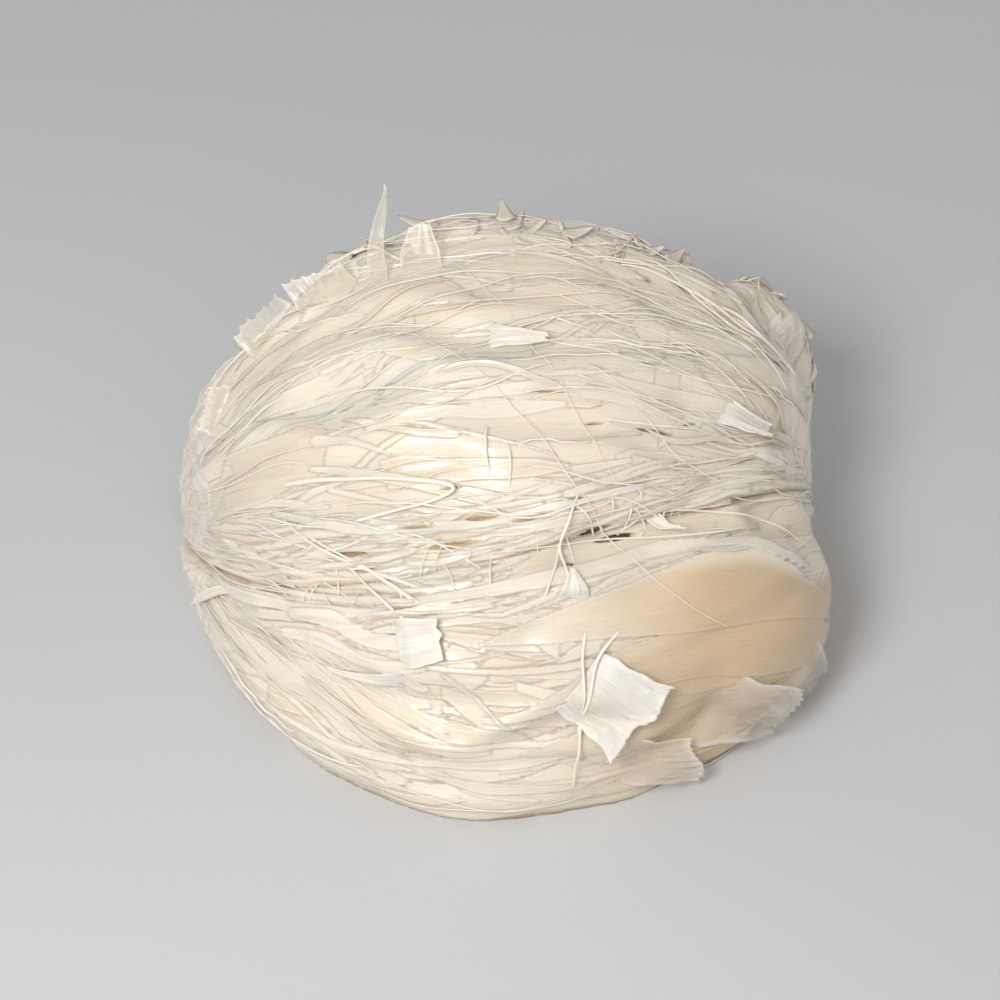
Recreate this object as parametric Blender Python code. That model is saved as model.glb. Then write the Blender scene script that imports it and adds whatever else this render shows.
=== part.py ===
"""An edible bird's nest: a half cup of set strands, lying on the flat face where it was cut off its wall.

Metres, +Z up and out from the wall. X runs from foot to foot, and the lip of the cup faces +Y.
"""

import math
import random

import bmesh
import bpy
from mathutils import Vector, noise

# Driving dimensions
LENGTH = 0.083
CUP_DEPTH = 0.0535
REACH = 0.0455
FOOT_THICKNESS = 0.013
FRONT_THICKNESS = 0.0095
DOME_THICKNESS = 0.0068
LIP_THICKNESS_SHARE = 0.38
LEFT_FULLNESS = 1.25
RIGHT_FULLNESS = 0.62

# The lip, and how far the feet run past it along the wall
LIP_TURN = math.radians(94)
LEFT_FOOT_TURN = math.radians(9)
RIGHT_FOOT_TURN = math.radians(20)
LIP_WAVE = math.radians(5)
LIP_WAVES_PER_RADIAN = 2.6
LIP_THINS_FROM = 0.6
BELOW_CUT = 0.004

# The lower strands stand proud of the dome, with a crevice along their upper edge that rises to the right
CREVICE_TURN = math.radians(41)
CREVICE_RISE_PER_RADIAN = math.radians(11)
CREVICE_WANDER = math.radians(1.5)
CREVICE_WAVES_PER_RADIAN = 2.2
CREVICE_START = 0.4
CREVICE_WIDTH = math.radians(3.4)
CREVICE_DEPTH = 0.0030
LOWER_SWELL = 0.0024
RELIEF_GIRTH = (0.15, 0.65)

# Bundles of strands, as they run from foot to foot over the outside
BUNDLE_ROWS = 13
BUNDLES_PER_ROW = 3
BUNDLE_WIDTH = (0.0044, 0.0070)
BUNDLE_THICKNESS = (0.0024, 0.0040)
BUNDLE_LIFT = (-0.0006, 0.0010)
BUNDLE_WANDER = math.radians(3.4)
BUNDLE_HALF_SPAN = (0.24 * math.pi, 0.36 * math.pi)
BUNDLE_SHIFT = 0.25
ROW_SHIFT = 0.35
BUNDLE_END = 0.07
END_DIVE = 0.0020
BUNDLE_STEPS = 26
BUNDLE_SIDES = 8

# Short bundles inside the cup and over the back of each foot
INNER_BUNDLES = 12
INNER_START = (0.35, 1.5)
INNER_SPAN = (0.9, 1.4)
INNER_LIFT = 0.0002
FOOT_BUNDLES = 5
FOOT_SPAN = 0.85
FOOT_BUNDLE_FATNESS = 1.5

# Pointed strand ends that stand off the lip
LIP_POINTS = 19
POINT_LENGTH = (0.0045, 0.0105)
POINT_WIDTH = (0.0026, 0.0046)
POINT_SIDES = 6
POINT_STEPS = 6
POINT_ROOT = 0.002
POINT_BELOW_LIP = 0.06
POINT_LEAN = (0.3, 1.3)
POINT_INSET = (0.15, 0.6)
POINT_FOOT_INSET = 0.3
POINT_SPAN = (0.1 * math.pi, 0.9 * math.pi)
POINT_SHIFT = (0.2, 0.8)

# The rolled lobe, where strands of the front fold over into the right foot
LOBE_TURN = math.radians(28)
LOBE_SPAN = (1.65, 2.90)
LOBE_LIFT = 0.0008
LOBE_WIDTH = 0.024
LOBE_THICKNESS = 0.0110

FUSE_SIZE = 0.0007
CUT_TOLERANCE = 0.00012
TRIANGLES = 8400
SEED = 23
NEST_COLOUR = (0.86, 0.78, 0.64, 1.0)
NEST_ROUGHNESS = 0.42

HALF_LENGTH = LENGTH / 2
WALL_STEPS = 60
TURN_STEPS = 48
OUTSIDE = (0.0, 0.0, 0.0)
INSIDE = (FOOT_THICKNESS, FRONT_THICKNESS, DOME_THICKNESS)
NOISE_OFFSET = Vector((0.37, 0.41, 0.43))


def smooth_step(value):
    value = min(max(value, 0.0), 1.0)
    return value * value * (3 - 2 * value)


def girth_at(along):
    """The share of the cup's full girth at along. The left foot is slimmer than the right one."""
    fullness = LEFT_FULLNESS + (RIGHT_FULLNESS - LEFT_FULLNESS) * smooth_step(along / math.pi)
    return max(math.sin(along), 0.0) ** fullness


def cup_point(along, turn, thickness=OUTSIDE, swell=0.0):
    """A point of the cup's smooth form: along is 0 at the left foot and pi at the right, turn is 0 at the wall
    in front and a quarter turn over the dome. thickness pulls it in at the feet, the front and the dome."""
    foot, front, dome = thickness
    girth = girth_at(along)
    return Vector(
        (
            -(HALF_LENGTH - foot) * math.cos(along),
            -(CUP_DEPTH - front + swell) * girth * math.cos(turn),
            (REACH - dome + swell) * girth * math.sin(turn),
        )
    )


def directions_at(along, turn):
    """The directions in which the cup's smooth form runs over the dome and towards the right foot."""
    step = 1e-3
    over = cup_point(along, turn + step) - cup_point(along, turn - step)
    sweep = cup_point(along + step, turn) - cup_point(along - step, turn)
    return over.normalized(), sweep.normalized()


def cup_normal(along, turn):
    """The outward direction of the cup's smooth form."""
    over, sweep = directions_at(along, turn)
    return sweep.cross(over).normalized()


def crevice_turn(along):
    wander = math.sin(CREVICE_WAVES_PER_RADIAN * along + CREVICE_START)
    rise = CREVICE_RISE_PER_RADIAN * (along - math.pi / 2)
    return CREVICE_TURN + rise + CREVICE_WANDER * wander


def relief(along, turn):
    """How far the outside stands off the smooth form: the swell of the lower strands and the crevice over it."""
    away = (turn - crevice_turn(along)) / CREVICE_WIDTH
    none, full = RELIEF_GIRTH
    fade = smooth_step((math.sin(along) - none) / (full - none))
    return fade * (LOWER_SWELL * smooth_step(0.5 - away) - CREVICE_DEPTH * math.exp(-away * away))


def wall_thickness(share):
    """The wall at a share of the way from its cut to its lip, where it thins."""
    toward_lip = smooth_step((share - LIP_THINS_FROM) / (1 - LIP_THINS_FROM))
    thin = 1 - (1 - LIP_THICKNESS_SHARE) * toward_lip
    return tuple(size * thin for size in INSIDE)


def lip_turn(along):
    """How far the wall runs over the dome: to a wavy lip in the middle, and further at the feet."""
    toward_foot = math.cos(along) ** 4 * (LEFT_FOOT_TURN if along < math.pi / 2 else RIGHT_FOOT_TURN)
    wave = noise.noise(Vector((along * LIP_WAVES_PER_RADIAN, SEED, 0)) + NOISE_OFFSET)
    return LIP_TURN + toward_foot + LIP_WAVE * wave


def new_object(name, bm):
    mesh = bpy.data.meshes.new(name)
    bmesh.ops.recalc_face_normals(bm, faces=bm.faces)
    bm.to_mesh(mesh)
    bm.free()
    made = bpy.data.objects.new(name, mesh)
    bpy.context.collection.objects.link(made)
    return made


def cup_wall():
    """The closed wall of the cup: an outer and an inner sheet, joined along the lip and below the wall cut."""
    bm = bmesh.new()
    sheets = []
    first_turn = -math.asin(BELOW_CUT / REACH)
    for inside in (False, True):
        rows = []
        for i in range(1, WALL_STEPS):
            along = math.pi * i / WALL_STEPS
            row = []
            for j in range(TURN_STEPS + 1):
                share = j / TURN_STEPS
                turn = first_turn + (lip_turn(along) - first_turn) * share
                if inside:
                    row.append(bm.verts.new(cup_point(along, turn, wall_thickness(share))))
                else:
                    row.append(bm.verts.new(cup_point(along, turn, OUTSIDE, relief(along, turn))))
            rows.append(row)
        ends = [bm.verts.new(cup_point(along, 0, INSIDE if inside else OUTSIDE)) for along in (0, math.pi)]
        for row, after in zip(rows, rows[1:]):
            for j in range(TURN_STEPS):
                bm.faces.new((row[j], row[j + 1], after[j + 1], after[j]))
        for row, end in ((rows[0], ends[0]), (rows[-1], ends[1])):
            for j in range(TURN_STEPS):
                bm.faces.new((row[j], row[j + 1], end))
        sheets.append((rows, ends))
    (outer, outer_ends), (inner, inner_ends) = sheets
    for j in (0, TURN_STEPS):
        outer_edge = [outer_ends[0]] + [row[j] for row in outer] + [outer_ends[1]]
        inner_edge = [inner_ends[0]] + [row[j] for row in inner] + [inner_ends[1]]
        for k in range(len(outer_edge) - 1):
            bm.faces.new((outer_edge[k], outer_edge[k + 1], inner_edge[k + 1], inner_edge[k]))
    return new_object("cup_wall", bm)


def tapered_bundle(name, line, normals, width, thickness, sides, taper):
    """A closed flattened tube along line. taper gives its share of the full section at each point."""
    bm = bmesh.new()
    rings = []
    for k in range(1, len(line) - 1):
        forward = (line[k + 1] - line[k - 1]).normalized()
        side = normals[k].cross(forward).normalized()
        share = taper(k / (len(line) - 1))
        ring = []
        for m in range(sides):
            angle = 2 * math.pi * m / sides
            offset = side * (math.cos(angle) * width / 2) + normals[k] * (math.sin(angle) * thickness / 2)
            ring.append(bm.verts.new(line[k] + offset * share))
        rings.append(ring)
    for ring, after in zip(rings, rings[1:]):
        for m in range(sides):
            bm.faces.new((ring[m], ring[(m + 1) % sides], after[(m + 1) % sides], after[m]))
    for ring, tip in ((rings[0], bm.verts.new(line[0])), (rings[-1], bm.verts.new(line[-1]))):
        for m in range(sides):
            bm.faces.new((ring[m], ring[(m + 1) % sides], tip))
    return new_object(name, bm)


def spindle(share):
    """A taper that is full in the middle and pointed at both ends."""
    return max(math.sin(math.pi * share), 0.0) ** 0.45


def thorn(share):
    """A taper that is full at the root and pointed at the tip."""
    return max(1 - share, 0.0) ** 0.8


def club(share):
    """A taper that is thin at the start and swells to a blunt round end."""
    return (0.25 + 0.75 * smooth_step(share / 0.75)) * max(1 - share**6, 0.0) ** 0.5


def bundle_line(rng, start, end, turn, lift, thickness=OUTSIDE):
    """A wandering line over the cup from start to end, with the directions that it faces. With no turn it
    follows the lip. It is lifted off the wall, and its ends dive into it."""
    slow, quick = rng.uniform(0, 2 * math.pi), rng.uniform(0, 2 * math.pi)
    line, normals = [], []
    for k in range(BUNDLE_STEPS + 1):
        share = k / BUNDLE_STEPS
        along = start + (end - start) * share
        wander = math.sin(math.pi * 2 * share + slow) + 0.5 * math.sin(math.pi * 5 * share + quick)
        here = (lip_turn(along) if turn is None else turn) + BUNDLE_WANDER * wander
        facing = -cup_normal(along, here) if thickness == INSIDE else cup_normal(along, here)
        swell = relief(along, here) if thickness == OUTSIDE else 0.0
        dive = END_DIVE * (1 - spindle(share))
        line.append(cup_point(along, here, thickness, swell) + facing * (lift - dive))
        normals.append(facing)
    return line, normals


def outer_bundles(rng):
    """Rows of bundles from foot to foot, each row in stretches that overlap."""
    made = []
    for row in range(BUNDLE_ROWS):
        turn = LIP_TURN * (row + 0.5) / BUNDLE_ROWS
        for part in range(BUNDLES_PER_ROW):
            middle = math.pi * (part + 0.5 + rng.uniform(-BUNDLE_SHIFT, BUNDLE_SHIFT)) / BUNDLES_PER_ROW
            half = rng.uniform(*BUNDLE_HALF_SPAN)
            start, end = max(middle - half, BUNDLE_END), min(middle + half, math.pi - BUNDLE_END)
            jitter = LIP_TURN / BUNDLE_ROWS * rng.uniform(-ROW_SHIFT, ROW_SHIFT)
            line, normals = bundle_line(rng, start, end, turn + jitter, rng.uniform(*BUNDLE_LIFT))
            made.append(
                tapered_bundle(
                    f"bundle_{row}_{part}",
                    line,
                    normals,
                    rng.uniform(*BUNDLE_WIDTH),
                    rng.uniform(*BUNDLE_THICKNESS),
                    BUNDLE_SIDES,
                    spindle,
                )
            )
    return made


def foot_bundles(rng):
    """Bundles over the back of each foot, where the wall of the cup runs past the lip."""
    made = []
    left, right = (BUNDLE_END, FOOT_SPAN), (math.pi - FOOT_SPAN, math.pi - BUNDLE_END)
    for side, (start, end) in enumerate((left, right)):
        for n in range(FOOT_BUNDLES):
            share = n / (FOOT_BUNDLES - 1)
            depth = tuple(size * share for size in INSIDE)
            line, normals = bundle_line(rng, start, end, None, rng.uniform(*BUNDLE_LIFT), depth)
            width = rng.uniform(*BUNDLE_WIDTH)
            thickness = FOOT_BUNDLE_FATNESS * rng.uniform(*BUNDLE_THICKNESS)
            name = f"foot_bundle_{side}_{n}"
            made.append(tapered_bundle(name, line, normals, width, thickness, BUNDLE_SIDES, spindle))
    return made


def inner_bundles(rng):
    """Short bundles that cross the inside of the cup."""
    made = []
    for n in range(INNER_BUNDLES):
        start = rng.uniform(*INNER_START)
        end = start + rng.uniform(*INNER_SPAN)
        turn = LIP_TURN * (n + 0.5) / INNER_BUNDLES
        line, normals = bundle_line(rng, start, end, turn, INNER_LIFT, INSIDE)
        made.append(
            tapered_bundle(
                f"inner_bundle_{n}",
                line,
                normals,
                rng.uniform(*BUNDLE_WIDTH),
                rng.uniform(*BUNDLE_THICKNESS),
                BUNDLE_SIDES,
                spindle,
            )
        )
    return made


def lip_points(rng):
    """Pointed strand ends along the lip, leaning the way the strands run."""
    made = []
    first, last = POINT_SPAN
    for n in range(LIP_POINTS):
        along = first + (last - first) * (n + rng.uniform(*POINT_SHIFT)) / LIP_POINTS
        turn = lip_turn(along) - POINT_BELOW_LIP
        inset = (FOOT_THICKNESS * POINT_FOOT_INSET, 0.0, DOME_THICKNESS * rng.uniform(*POINT_INSET))
        root = cup_point(along, turn, inset)
        over, sweep = directions_at(along, turn)
        if along < math.pi / 2:
            sweep.negate()
        lean = (over + sweep * rng.uniform(*POINT_LEAN)).normalized()
        length = rng.uniform(*POINT_LENGTH)
        line = [root + lean * (length * k / POINT_STEPS - POINT_ROOT) for k in range(POINT_STEPS + 1)]
        normals = [cup_normal(along, turn)] * (POINT_STEPS + 1)
        width = rng.uniform(*POINT_WIDTH)
        made.append(tapered_bundle(f"lip_point_{n}", line, normals, width, width / 2, POINT_SIDES, thorn))
    return made


def rolled_lobe(rng):
    """The smooth roll in which strands of the front fold over at the right foot."""
    line, normals = bundle_line(rng, *LOBE_SPAN, LOBE_TURN, LOBE_LIFT)
    return tapered_bundle("rolled_lobe", line, normals, LOBE_WIDTH, LOBE_THICKNESS, 2 * BUNDLE_SIDES, club)


def evaluated_mesh(obj):
    graph = bpy.context.evaluated_depsgraph_get()
    return bpy.data.meshes.new_from_object(obj.evaluated_get(graph))


def joined(parts, name):
    """One object that holds every part's mesh, still overlapping."""
    bpy.context.view_layer.update()
    bm = bmesh.new()
    for part in parts:
        mesh = part.data.copy()
        mesh.transform(part.matrix_world)
        bm.from_mesh(mesh)
        bpy.data.meshes.remove(mesh)
    for part in parts:
        bpy.data.objects.remove(part)
    return new_object(name, bm)


def apply_modifier(obj, kind, **settings):
    modifier = obj.modifiers.new(kind.lower(), kind)
    for key, value in settings.items():
        setattr(modifier, key, value)
    mesh = evaluated_mesh(obj)
    obj.modifiers.clear()
    obj.data = mesh


def keep_largest_island(obj):
    """Deletes the closed pockets that are left inside where bundles cross."""
    bm = bmesh.new()
    bm.from_mesh(obj.data)
    unseen = set(bm.verts)
    islands = []
    while unseen:
        island, edge = set(), [unseen.pop()]
        while edge:
            vert = edge.pop()
            island.add(vert)
            for link in vert.link_edges:
                other = link.other_vert(vert)
                if other in unseen:
                    unseen.remove(other)
                    edge.append(other)
        islands.append(island)
    largest = max(islands, key=len)
    bmesh.ops.delete(bm, geom=[v for v in bm.verts if v not in largest], context="VERTS")
    bm.to_mesh(obj.data)
    bm.free()


def cut_off_wall(obj):
    """Cuts the nest off flat at z = 0, as a knife along the wall does."""
    bm = bmesh.new()
    bmesh.ops.create_cube(bm, size=2 * LENGTH)
    wall = new_object("wall", bm)
    wall.location.z = -LENGTH
    apply_modifier(obj, "BOOLEAN", operation="DIFFERENCE", solver="EXACT", object=wall)
    bpy.data.objects.remove(wall)
    keep_largest_island(obj)


def flatten_cut(obj):
    """Puts the points of the wall cut back in one plane."""
    for vertex in obj.data.vertices:
        if vertex.co.z < CUT_TOLERANCE:
            vertex.co.z = 0.0


def centre_on_base(obj):
    """Puts the middle of the nest's outline over the origin."""
    xs = [v.co.x for v in obj.data.vertices]
    ys = [v.co.y for v in obj.data.vertices]
    middle = Vector(((min(xs) + max(xs)) / 2, (min(ys) + max(ys)) / 2, 0))
    for vertex in obj.data.vertices:
        vertex.co -= middle


def nest_material():
    material = bpy.data.materials.new("set_strands")
    material.use_nodes = True
    shader = material.node_tree.nodes["Principled BSDF"]
    shader.inputs["Base Color"].default_value = NEST_COLOUR
    shader.inputs["Roughness"].default_value = NEST_ROUGHNESS
    shader.inputs["Metallic"].default_value = 0.0
    return material


def build():
    for old in list(bpy.data.objects):
        bpy.data.objects.remove(old)
    rng = random.Random(SEED)
    parts = [cup_wall(), rolled_lobe(rng)]
    parts += outer_bundles(rng) + foot_bundles(rng) + inner_bundles(rng) + lip_points(rng)
    nest = joined(parts, "nest")
    apply_modifier(nest, "REMESH", mode="VOXEL", voxel_size=FUSE_SIZE)
    cut_off_wall(nest)
    faces = sum(len(p.vertices) - 2 for p in nest.data.polygons)
    apply_modifier(nest, "DECIMATE", ratio=TRIANGLES / faces)
    flatten_cut(nest)
    centre_on_base(nest)
    nest.data.shade_smooth()
    nest.data.materials.append(nest_material())


build()
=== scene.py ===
"""The looks of an edible bird's nest: set strands, film and flakes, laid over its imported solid.

Metres. X runs from the left foot to the right one, the lip of the cup faces +Y, and the wall cut lies on
z = 0.
"""

import functools
import math

import bpy
import numpy as np
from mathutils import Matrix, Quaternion, Vector
from mathutils.bvhtree import BVHTree
from mathutils.kdtree import KDTree


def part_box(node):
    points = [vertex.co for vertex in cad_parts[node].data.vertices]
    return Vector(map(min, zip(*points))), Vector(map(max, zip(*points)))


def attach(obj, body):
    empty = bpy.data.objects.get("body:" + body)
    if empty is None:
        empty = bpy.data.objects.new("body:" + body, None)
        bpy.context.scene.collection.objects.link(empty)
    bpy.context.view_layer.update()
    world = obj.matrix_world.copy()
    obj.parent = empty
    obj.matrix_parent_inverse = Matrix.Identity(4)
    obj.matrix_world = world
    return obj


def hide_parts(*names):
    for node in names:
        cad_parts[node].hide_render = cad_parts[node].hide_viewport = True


bl_info = {
    "name": "Edible Bird's Nest",
    "version": (1, 0, 0),
    "blender": (4, 5, 0),
    "location": "3D View > Sidebar > Nest",
    "description": "Lays the strands, film and flakes of an edible bird's nest over its solid",
    "category": "Object",
}

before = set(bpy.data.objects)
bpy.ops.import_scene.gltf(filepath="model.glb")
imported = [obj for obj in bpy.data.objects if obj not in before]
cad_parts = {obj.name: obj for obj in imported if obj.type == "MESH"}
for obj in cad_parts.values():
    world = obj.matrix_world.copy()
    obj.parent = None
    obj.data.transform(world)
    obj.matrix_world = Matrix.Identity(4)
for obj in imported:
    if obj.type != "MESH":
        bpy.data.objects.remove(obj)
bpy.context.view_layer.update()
NODE = "nest"
LOW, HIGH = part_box(NODE)

# The cup's smooth form. Its poles are the feet, and its pole line lies behind the front by its depth.
HALF_LENGTH = 0.0415
CUP_DEPTH = 0.0535
REACH = 0.0455
BUNDLES_STAND_OFF = 0.00354
POLE_Y = LOW.y + CUP_DEPTH + BUNDLES_STAND_OFF
LEFT_FULLNESS = 1.25
RIGHT_FULLNESS = 0.62
WALL = (0.013, 0.0095, 0.0068)
NO_WALL = (0.0, 0.0, 0.0)
CREVICE_TURN = math.radians(41)
CREVICE_RISE_PER_RADIAN = math.radians(11)

# The grid on which the skins of the solid are read
SKIN_ALONG = (0.05, math.pi - 0.05)
SKIN_TURN = (math.radians(-3), math.radians(126))
SKIN_STEPS = (210, 150)
RAY_START = 0.012
RAY_REACH = 0.009
SKIN_BLURS = 3
LIP_BLUR = 9
DIP_BLURS = 20
DIP = 0.0007
LEAK = 0.0012
LEAK_WINDOW = 5

# The two sheets of set ribbons that cover the outside, one on each side of the crevice
SHEET_ROWS = 380
LOWER_COLUMNS = 226
UPPER_COLUMNS = 452
SPLIT = 226
SPLIT_OVERLAP = 4
SPLIT_TUCK = 0.00002
SHEET_BACK_STEPS = 10
SHEET_BACK = -0.0030
SHEET_LIFT = 0.0001
SHEET_HEIGHTS = (-0.0014, 0.0012)
SHEET_EDGE_DIVE = 0.0007
SHEET_EDGE = 0.0006
LEAST_EDGE_TURN = 0.01
# How much painted shade the sheets get where they dive to their edges
DIVE_SHADE = 0.60
CREVICE_GAP = math.radians(-0.45)
EDGE_SOFTNESS = 0.00016
ACROSS_SOFTNESS = 0.0006
CORNERS_PER_RADIAN = 7
KINK = 0.022
FLOW_WAVES = 1.6
FLOW_SWING = 0.075

# How a ribbon lies on what is below it, how its rim shows as a painted highlight, and the painted
# shade just beside its edge
RIM_WIDTH = 0.00022
RIM_RISE = 0.9
RIM_HIGHLIGHT = 0.9
CONTACT_SHADE_WIDTH = 0.00022
CONTACT_SHADE_REACH = 0.0005
CONTACT_SHADE = (0.0, 0.55)
ROUND_HIGHLIGHT = 0.35
ROUND_DRAPE = 2
SAG = 0.8
# Painted amber shade in hollows: how widely the sheet is smoothed to find them, and the depths at which the
# shade starts and is full
DEEP_BLURS = 16
DEEP = (0.00012, 0.0006)

# Kinds of ribbon on each sheet: how many, lengths, widths, thicknesses, the spread of their lean, and
# how smoothly they bridge what is below, or 0 for round ones
RIBBONS = (
    (60, (0.018, 0.060), (0.0040, 0.0095), (0.00004, 0.00008), 0.10, 26),
    (150, (0.012, 0.060), (0.0013, 0.0034), (0.00006, 0.00013), 0.13, 10),
    (200, (0.010, 0.060), (0.0004, 0.0012), (0.00012, 0.00028), 0.15, 0),
    (40, (0.005, 0.020), (0.0006, 0.0020), (0.00008, 0.00018), 0.65, 6),
    (40, (0.006, 0.014), (0.0028, 0.0060), (0.00005, 0.00010), 0.50, 14),
)
RIBBON_MIDDLES = (0.03, 0.97)
RIBBON_OVERHANG = 0.03
RIBBON_TONE = (0.55, 0.24)

# Narrow ribbons on both sides of the crevice: their length, width, thickness and the spread of their
# lean, and the bridging of every second one
CREVICE_RIBBONS = 110
CREVICE_RIBBON = ((0.006, 0.026), (0.0004, 0.0016), (0.00010, 0.00024), 0.06)
CREVICE_DRAPE = 3
CREVICE_ZONE = math.radians(8)
CREVICE_MIDDLES = (0.15, 0.78)

# Ribbons of the feet, which run across the others: how many on each foot and each sheet, and how far
# they reach
FOOT_WRAPS = 30
FOOT_REACH = 0.52
WRAP_REACH = (0.2, 0.6)
WRAP_LEAN = (0.02, 0.16)
WRAP_SWING = 0.03
WRAP_HALF = (0.0005, 0.0032)
WRAP_THICKNESS = (0.00006, 0.00014)
WRAP_TONE = (0.55, 0.2)
WRAP_DRAPE = 8

# Ribbons with places of their own, laid last: width and thickness in mm, tone, bridging, and knots of
# along and turn in degrees
SET_RIBBONS = (
    (9.5, 0.10, 0.15, 20, ((1.62, 20), (1.95, 25), (2.35, 26), (2.70, 16), (2.90, 6))),
    (9.0, 0.10, 0.25, 20, ((1.50, 29), (1.90, 33), (2.30, 35), (2.62, 27), (2.85, 14))),
    (2.2, 0.20, 0.95, 8, ((1.26, 34.0), (1.55, 36.6), (1.85, 39.4), (2.10, 41.8), (2.32, 41.5), (2.58, 35))),
    (1.0, 0.30, 0.90, 0, ((0.62, 40), (0.95, 36.5), (1.30, 36.2), (1.50, 37.5))),
    (0.9, 0.30, 0.85, 0, ((0.60, 32), (0.95, 33.0), (1.35, 34.8))),
    (1.4, 0.24, 0.85, 6, ((0.55, 27), (0.90, 30.0), (1.30, 33.0))),
    (1.2, 0.24, 0.90, 6, ((0.85, 47), (1.20, 44.4), (1.60, 46.5), (2.00, 51.0))),
    (0.8, 0.26, 0.95, 0, ((1.05, 51), (1.40, 47.5), (1.75, 49.5))),
    (2.2, 0.16, 0.90, 6, ((0.95, 29.5), (1.10, 30.4), (1.24, 28.6), (1.40, 29.4))),
    (2.0, 0.16, 0.85, 6, ((0.92, 25.5), (1.07, 26.8), (1.22, 25.0), (1.38, 25.6))),
)
SET_TAPER = 0.13
LOBE_EDGE = 2
LOBE_EDGE_WIDTH = math.radians(1.8)
# Painted shade on the rolled lobe below the ribbon along its top: how dark, the alongs where it starts and is
# full, and how softly it fades over the turn
LOBE_SHADE = 0.78
LOBE_SHADE_START = (1.65, 2.20)
LOBE_SHADE_FADE = 0.05

# The smooth film on the rolled lobe, and how many loose strands are kept off it
LOBE_FILMS = 22
LOBE_STARTS = (1.60, 2.35)
LOBE_LENGTHS = (0.5, 1.2)
LOBE_LEAN = (0.12, 0.05)
LOBE_TURNS = (math.radians(4), math.radians(43))
LOBE_FILM_WIDTH = (0.005, 0.011)
LOBE_FILM_THICKNESS = (0.00004, 0.00009)
# Their tones are low, darker than the other ribbons, as painted shade on the rolled lobe
LOBE_TONES = (0.0, 0.4)
LOBE_DRAPE = 20
LOBE_SPARED = 1.0
LOBE_STEP = math.radians(45)

# Gaps between ribbons, painted with amber shade: along, turn in degrees, length and width, and the
# ranges of more at random
GAP_SOFTNESS = 0.00022
GAP_DEPTH = 0.0011
GAP_LEAN = (0.1, 0.1)
RANDOM_GAPS = 12
RANDOM_GAP_PLACES = ((0.8, 2.3), (0.8, 1.6))
RANDOM_GAP_SIZES = ((0.003, 0.008), (0.0002, 0.0004))
GAPS = (
    (1.44, 42.6, 0.0090, 0.0009),
    (1.34, 45.0, 0.0060, 0.0006),
    (1.92, 43.6, 0.0080, 0.0008),
    (1.66, 46.6, 0.0070, 0.0005),
    (1.78, 49.0, 0.0050, 0.0004),
    (1.52, 46.5, 0.0060, 0.0005),
    (1.30, 33.5, 0.0070, 0.0004),
    (1.12, 40.6, 0.0070, 0.0006),
    (2.10, 47.4, 0.0060, 0.0005),
    (1.86, 44.6, 0.0060, 0.0006),
)

# Strands that stand out: width in mm, thickness as a share of it, and knots of along, turn in degrees
# and lift in mm
CHOSEN_STRANDS = (
    (
        0.55,
        0.5,
        ((0.84, 52.2, -0.2), (1.10, 52.6, 0.5), (1.30, 52.0, 0.8), (1.43, 50.0, 0.9), (1.06, 44.0, -0.2)),
    ),
    (0.5, 0.4, ((0.95, 44.5, -0.2), (1.18, 38.6, 0.5), (1.42, 33.0, -0.2))),
    (0.4, 0.4, ((1.02, 42.0, -0.2), (1.20, 35.8, 0.5), (1.36, 31.0, -0.2))),
    (0.5, 0.4, ((0.86, 47.0, -0.2), (1.12, 39.5, 0.5), (1.40, 36.0, -0.2))),
    (
        0.36,
        0.6,
        ((1.81, 51.5, -0.3), (1.765, 46.5, 0.7), (1.735, 43.0, 0.9), (1.75, 39.0, 0.6), (1.77, 36.0, 0.0)),
    ),
    (0.28, 0.6, ((1.735, 43.0, 0.8), (1.728, 40.0, 0.7), (1.70, 37.0, 0.3), (1.69, 35.2, -0.2))),
    (0.34, 0.5, ((1.535, 60.0, -0.3), (1.530, 56.5, 0.5), (1.545, 51.0, -0.3))),
    (0.26, 0.5, ((1.585, 58.0, -0.3), (1.60, 54.0, 0.5), (1.595, 50.0, -0.3))),
    (
        0.40,
        0.4,
        ((1.90, 31.0, -0.4), (1.83, 26.5, 0.3), (1.792, 19.0, 0.6), (1.777, 11.0, 0.6), (1.77, 6.0, 0.5)),
    ),
    (0.30, 0.5, ((1.80, 31.0, -0.4), (1.79, 26.5, 0.3), (1.788, 21.0, 0.5), (1.782, 15.0, 0.4))),
    (0.26, 0.5, ((1.86, 29.0, -0.4), (1.805, 22.0, 0.3), (1.785, 15.0, 0.6), (1.79, 10.0, -0.3))),
    (0.3, 0.5, ((1.92, 47.0, -0.2), (2.20, 47.5, 0.5), (2.50, 43.0, 0.6), (2.75, 33.0, -0.2))),
)
WEB_FEET = 1.2
STRAND_TUCK = 0.0006

# Small strands that bridge the crevice: widths and lifts in mm, and how far they reach past it in degrees
BRIDGES = 26
BRIDGE_SPAN = (1.00, 2.20)
BRIDGE_DRIFT = 0.04
BRIDGE_SPREAD = 2.5
BRIDGE_REACH = (1.2, 3.5)
BRIDGE_LIFT = (0.1, 0.5)
BRIDGE_FOOT = -0.4
BRIDGE_WIDTH = (0.14, 0.28)
BRIDGE_FLATNESS = 0.5

# Flakes: along and turn of the middle of the root, length and width in mm, heading and stand off the skin in
# degrees, the share of the width at the free end, pleats and the curl of the free end in mm
FLAKES = (
    (1.300, 28.6, 5.6, 6.4, 12, 3, 0.85, 0, 0.2),
    (1.78, 23.8, 10.5, 10.0, -40, 4, 1.25, 7, 0.6),
    (2.03, 47.0, 5.5, 2.2, -52, 18, 0.08, 0, 0.3),
    (1.31, 23.0, 10.5, 2.6, 176, 5, 0.04, 0, 0.3),
    (0.69, 30.0, 11.0, 1.5, 214, 5, 0.85, 0, 0.1),
    (1.77, 35.2, 3.2, 4.2, 92, 8, 0.06, 0, 0.0),
    (1.52, 73.0, 8.0, 3.4, -4, 4, 0.50, 2, 0.3),
    (2.28, 66.0, 8.0, 4.0, -16, 4, 0.60, 2, 0.3),
)

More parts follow.
